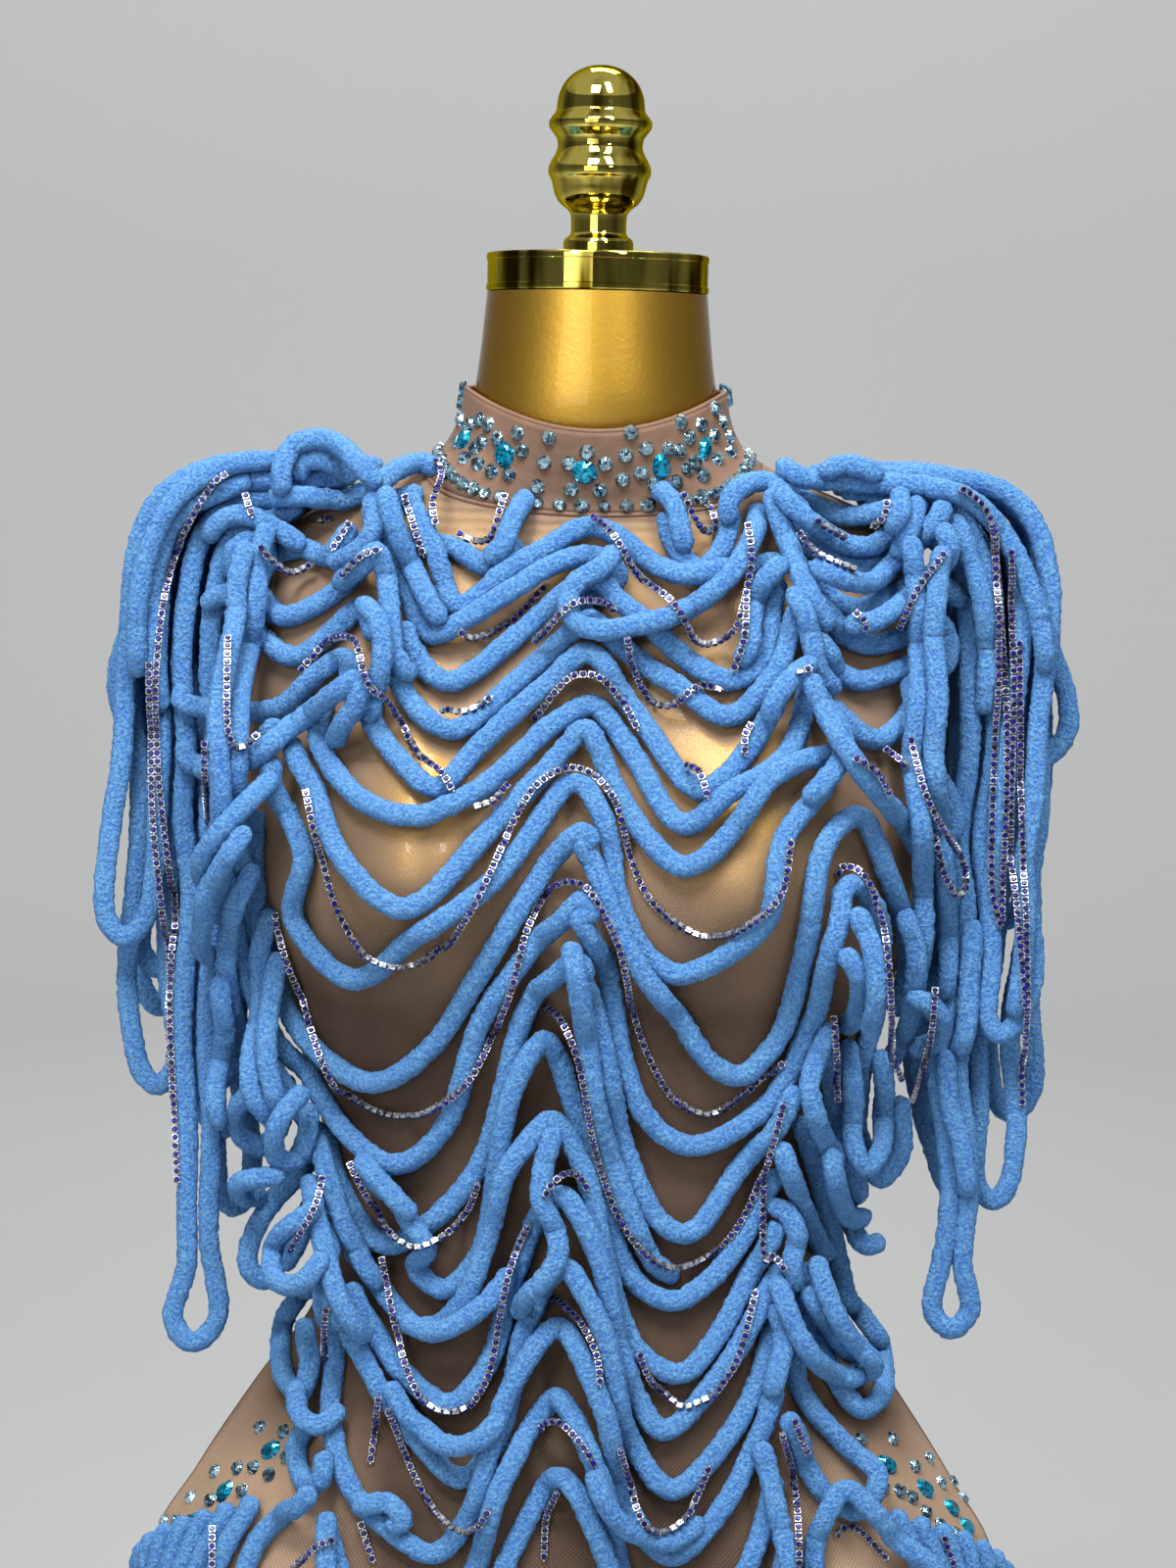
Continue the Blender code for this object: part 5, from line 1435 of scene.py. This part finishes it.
foot_row = []
round_stone = cut_stone(0.0)
row_length = 2 * math.pi * float(torso("half_width", NECKLINE[1]))
row_count = round(row_length / FOOT_ROW_PITCH)
for i in range(row_count):
    turn = 2 * math.pi * (i + 0.5) / row_count
    height = around(turn, NECKLINE) + FOOT_ROW_RISE
    point = Vector(off_body(turn, height, COLLAR_DISTANCE + COLLAR_THICKNESS))
    outward = (point - Vector(off_body(turn, height, 0.0))).normalized()
    size = PALE_ROUND * FOOT_ROW_SIZES[i % len(FOOT_ROW_SIZES)]
    gem = Gem(0, 0, size, size, FOOT_ROW_LEAN * i, 0.0)
    foot_row.append((round_stone, gem_place(point, outward, gem)))
copies("collar_foot_stones", foot_row, pale_glass)


# The cup chains
# Dark blue round stones, each in a square silver cup, with the cups linked by short bars. Lengths of
# the chain are tacked beside the cords, and more of it hangs free with the shoulder fringe.
CHAIN_PITCH = 0.0039
CHAIN_RADIUS = 0.0015
CHAIN_ROUNDING = 45.0
CUP_WIDTH = 0.0030
CUP_DEPTH = 0.0023
CUP_FOOT = 0.60
CUP_MOUTH = 0.70
CHAIN_STONE = 0.0028
CHAIN_STONE_HEIGHT = 0.0008
CHAIN_STONE_SEAT = 0.45
CHAIN_FACING = Vector((0.0, -1.0, 0.25))
BAR_SIZE = (0.0016, 0.0008, 0.0004)
BAR_SEAT = -0.3
VALLEY_ROLL = math.radians(98)
STEEP_SLOPE = 0.80
SILVER_WEAR = 420
SILVER_WEAR_DEPTH = 0.00008
SILVER = colour(204, 206, 210)
SILVER_DARK = colour(112, 114, 120)
SAPPHIRE_LIGHT = colour(26, 24, 132)
SAPPHIRE_DEEP = colour(3, 3, 30)
# Each route is a list of (x, height) in millimetres, seen from the front
LYING_CHAINS = [
    [(40, 895), (46, 883), (52, 877), (55, 880), (54, 886), (46, 895)],
    [(-73, 907), (-69, 901), (-72, 888), (-70, 877)],
    [(-61, 875), (-57, 872), (-47, 872), (-40, 891)],
    [(0, 883), (9, 876), (21, 858), (36, 847), (48, 829), (54, 828), (64, 835), (67, 843), (71, 865),
     (69, 883)],
    [(69, 852), (68, 831), (64, 818)],
    [(16, 832), (19, 818), (26, 804), (31, 801), (36, 801), (49, 810), (58, 808)],
    [(-25, 793), (-8, 813), (-2, 814), (4, 813), (15, 802), (22, 790)],
    [(-59, 832), (-54, 829), (-47, 830), (-35, 837), (-21, 851)],
    [(-25, 828), (-7, 846), (5, 846), (12, 842)],
    [(-125, 761), (-109, 704), (-97, 689), (-80, 685), (-65, 691), (-52, 708), (-25, 763), (-17, 770),
     (-9, 773), (1, 771), (12, 760), (20, 733), (28, 717), (48, 702), (60, 702), (80, 716), (86, 725),
     (89, 745)],
    [(-142, 700), (-140, 689), (-116, 628), (-111, 620), (-92, 611), (-76, 612), (-52, 630), (-45, 641),
     (-33, 671), (-24, 705), (-11, 724), (-5, 725), (0, 724), (14, 700), (24, 658), (31, 640), (41, 624),
     (55, 616), (62, 617), (90, 639)],
    [(-17, 665), (-11, 663), (-3, 649), (8, 597), (18, 570), (31, 553), (38, 548), (45, 546), (59, 549),
     (71, 562), (80, 580), (91, 625)],
    [(-15, 584), (-14, 588), (-6, 594), (-1, 592), (4, 585)],
    [(-105, 589), (-91, 565), (-86, 560), (-74, 555), (-56, 563), (-50, 571), (-46, 583)],
    [(-90, 545), (-79, 503), (-71, 487), (-65, 482), (-52, 481), (-47, 484), (-40, 496), (-31, 545),
     (-22, 568)],
    [(-85, 481), (-72, 447), (-60, 434), (-48, 431), (-43, 434), (-37, 444)],
    [(-89, 486), (-93, 452)],
    [(-97, 426), (-91, 410)],
    [(-113, 527), (-116, 495)],
    [(-117, 582), (-119, 572), (-132, 547)],
    [(-66, 797), (-52, 798), (-44, 803)],
    [(-50, 757), (-41, 760), (-35, 766)],
    [(43, 776), (48, 775), (53, 763)],
    [(72, 795), (69, 790), (69, 780)],
    [(-131, 811), (-115, 827), (-104, 828), (-97, 810), (-89, 802), (-76, 780), (-64, 772), (-58, 764)],
    [(83, 585), (85, 549), (88, 551), (95, 545)],
    [(-12, 527), (-11, 530), (-7, 530), (2, 525), (9, 513), (11, 500)],
    [(28, 510), (33, 497), (38, 491), (48, 485), (56, 487), (62, 490), (71, 502), (81, 536)],
    [(-16, 473), (-14, 479), (-7, 482), (3, 474), (10, 464)],
    [(20, 472), (29, 442), (34, 435), (40, 433), (52, 439), (61, 459)],
    [(-7, 449), (-12, 435), (-13, 414)],
    [(93, 475), (100, 448), (102, 413)],
    [(98, 482), (105, 465)],
    [(112, 663), (117, 618)],
    [(111, 727), (113, 731), (119, 731), (124, 727), (130, 713), (139, 646), (147, 627)],
    [(92, 878), (99, 870), (116, 863)],
    [(99, 884), (113, 876)],
    [(132, 893), (131, 886), (125, 880)],
    [(117, 843), (121, 841), (123, 835)],
    [(90, 818), (98, 820)],
    [(115, 783), (126, 776), (133, 765)],
    [(133, 782), (145, 774)],
    [(144, 788), (152, 760), (173, 726), (173, 717), (170, 714), (164, 721), (158, 741)],
    [(158, 871), (146, 853), (139, 835)],
    [(-158, 890), (-154, 879)],
    [(-151, 867), (-137, 855), (-126, 859)],
    [(-109, 879), (-117, 866)],
    [(-112, 855), (-101, 865), (-95, 867)],
    [(-127, 878), (-119, 879)],
    [(-85, 891), (-75, 863)],
    [(-161, 828), (-158, 784), (-155, 779), (-145, 786)],
    [(-169, 783), (-170, 757), (-174, 738)],
    [(159, 674), (156, 609)],
    [(-107, 423), (-115, 420), (-127, 405)],
    [(-166, 417), (-165, 398)],
    [(119, 421), (125, 425), (130, 423), (145, 408)],
    [(171, 417), (177, 401)],
]
HANGING_CHAINS = [
    [(-165, 899), (-170, 896), (-190, 862), (-195, 839), (-198, 776), (-191, 699), (-192, 651),
     (-187, 570)],
    [(-201, 813), (-200, 746), (-195, 695), (-191, 597)],
    [(164, 899), (170, 896), (179, 886), (186, 824), (187, 714), (191, 699)],
    [(182, 882), (191, 801), (192, 700)],
    [(190, 872), (194, 815), (195, 739), (203, 660)],
    [(196, 830), (206, 612)],
]


def even_steps(route, pitch):
    """Points an even distance apart along a fine route."""
    steps = np.cumsum([0.0] + [(b - a).length for a, b in zip(route, route[1:])])
    wanted = np.arange(pitch / 2, steps[-1], pitch)
    axes = [np.interp(wanted, steps, [point[i] for point in route]) for i in range(3)]
    return [Vector(point) for point in zip(*axes)]


def chain_places(route):
    """The place of each link. Where a chain hangs across a bay, its links roll on to their sides."""
    links = even_steps(route, CHAIN_PITCH)
    places = []
    for i, point in enumerate(links):
        before, after = links[max(i - 1, 0)], links[min(i + 1, len(links) - 1)]
        along = (after - before).normalized()
        outward = (CHAIN_FACING - along * CHAIN_FACING.dot(along)).normalized()
        sag = before.z + after.z - 2 * point.z
        level = max(0.0, 1 - (along.z / STEEP_SLOPE) ** 2)
        roll = VALLEY_ROLL * level * (1.0 if sag >= 0 else 0.0)
        facing = Matrix.Rotation(roll if along.x > 0 else -roll, 3, along) @ outward
        places.append(seated(point, facing, along))
    return places


def cup_mesh():
    """One link: a square cup, wider at its mouth, and the bar to the next one."""
    bm = bmesh.new()
    turned_square = Matrix.Rotation(math.pi / 4, 4, "Z")
    bmesh.ops.create_cone(bm, cap_ends=True, segments=4, radius1=CUP_WIDTH * CUP_FOOT,
                          radius2=CUP_WIDTH * CUP_MOUTH, depth=CUP_DEPTH, matrix=turned_square)
    bar_place = Matrix.Translation((CHAIN_PITCH / 2, 0.0, CUP_DEPTH * BAR_SEAT))
    bmesh.ops.create_cube(bm, size=1.0, matrix=bar_place @ Matrix.Diagonal((*BAR_SIZE, 1.0)))
    mesh = bpy.data.meshes.new("chain_cup")
    bm.to_mesh(mesh)
    bm.free()
    return mesh


silver = Finish("silver_plate", {"Metallic": 0.75})
wear = silver.spread(silver.grain(SILVER_WEAR, 2.0), 0.40, 0.60)
silver.finish(Base_Color=silver.blend(wear, SILVER_DARK, SILVER),
              Roughness=wear * 0.12 + 0.24, Normal=silver.bump(wear, SILVER_WEAR_DEPTH))
sapphire = glass("sapphire_glass", SAPPHIRE_LIGHT, SAPPHIRE_DEEP, 0.25)

bare = [surface_of([front_net, *back_nets, collar, *swags, *loose])]
cup, chain_stone = cup_mesh(), cut_stone(0.0)
on_cup = (Matrix.Translation((0.0, 0.0, CUP_DEPTH * CHAIN_STONE_SEAT))
          @ Matrix.Diagonal((CHAIN_STONE, CHAIN_STONE, CHAIN_STONE_HEIGHT, 1.0)))
for word, routes in (("swag", LYING_CHAINS), ("hanging", HANGING_CHAINS)):
    places = [place for route in routes
              for place in chain_places(laid(route, CHAIN_RADIUS, bare, CHAIN_ROUNDING, tuck=0.0))]
    copies(f"{word}_chain_cups", [(cup, place) for place in places], silver.material)
    copies(f"{word}_chain_stones", [(chain_stone, place @ on_cup) for place in places], sapphire)
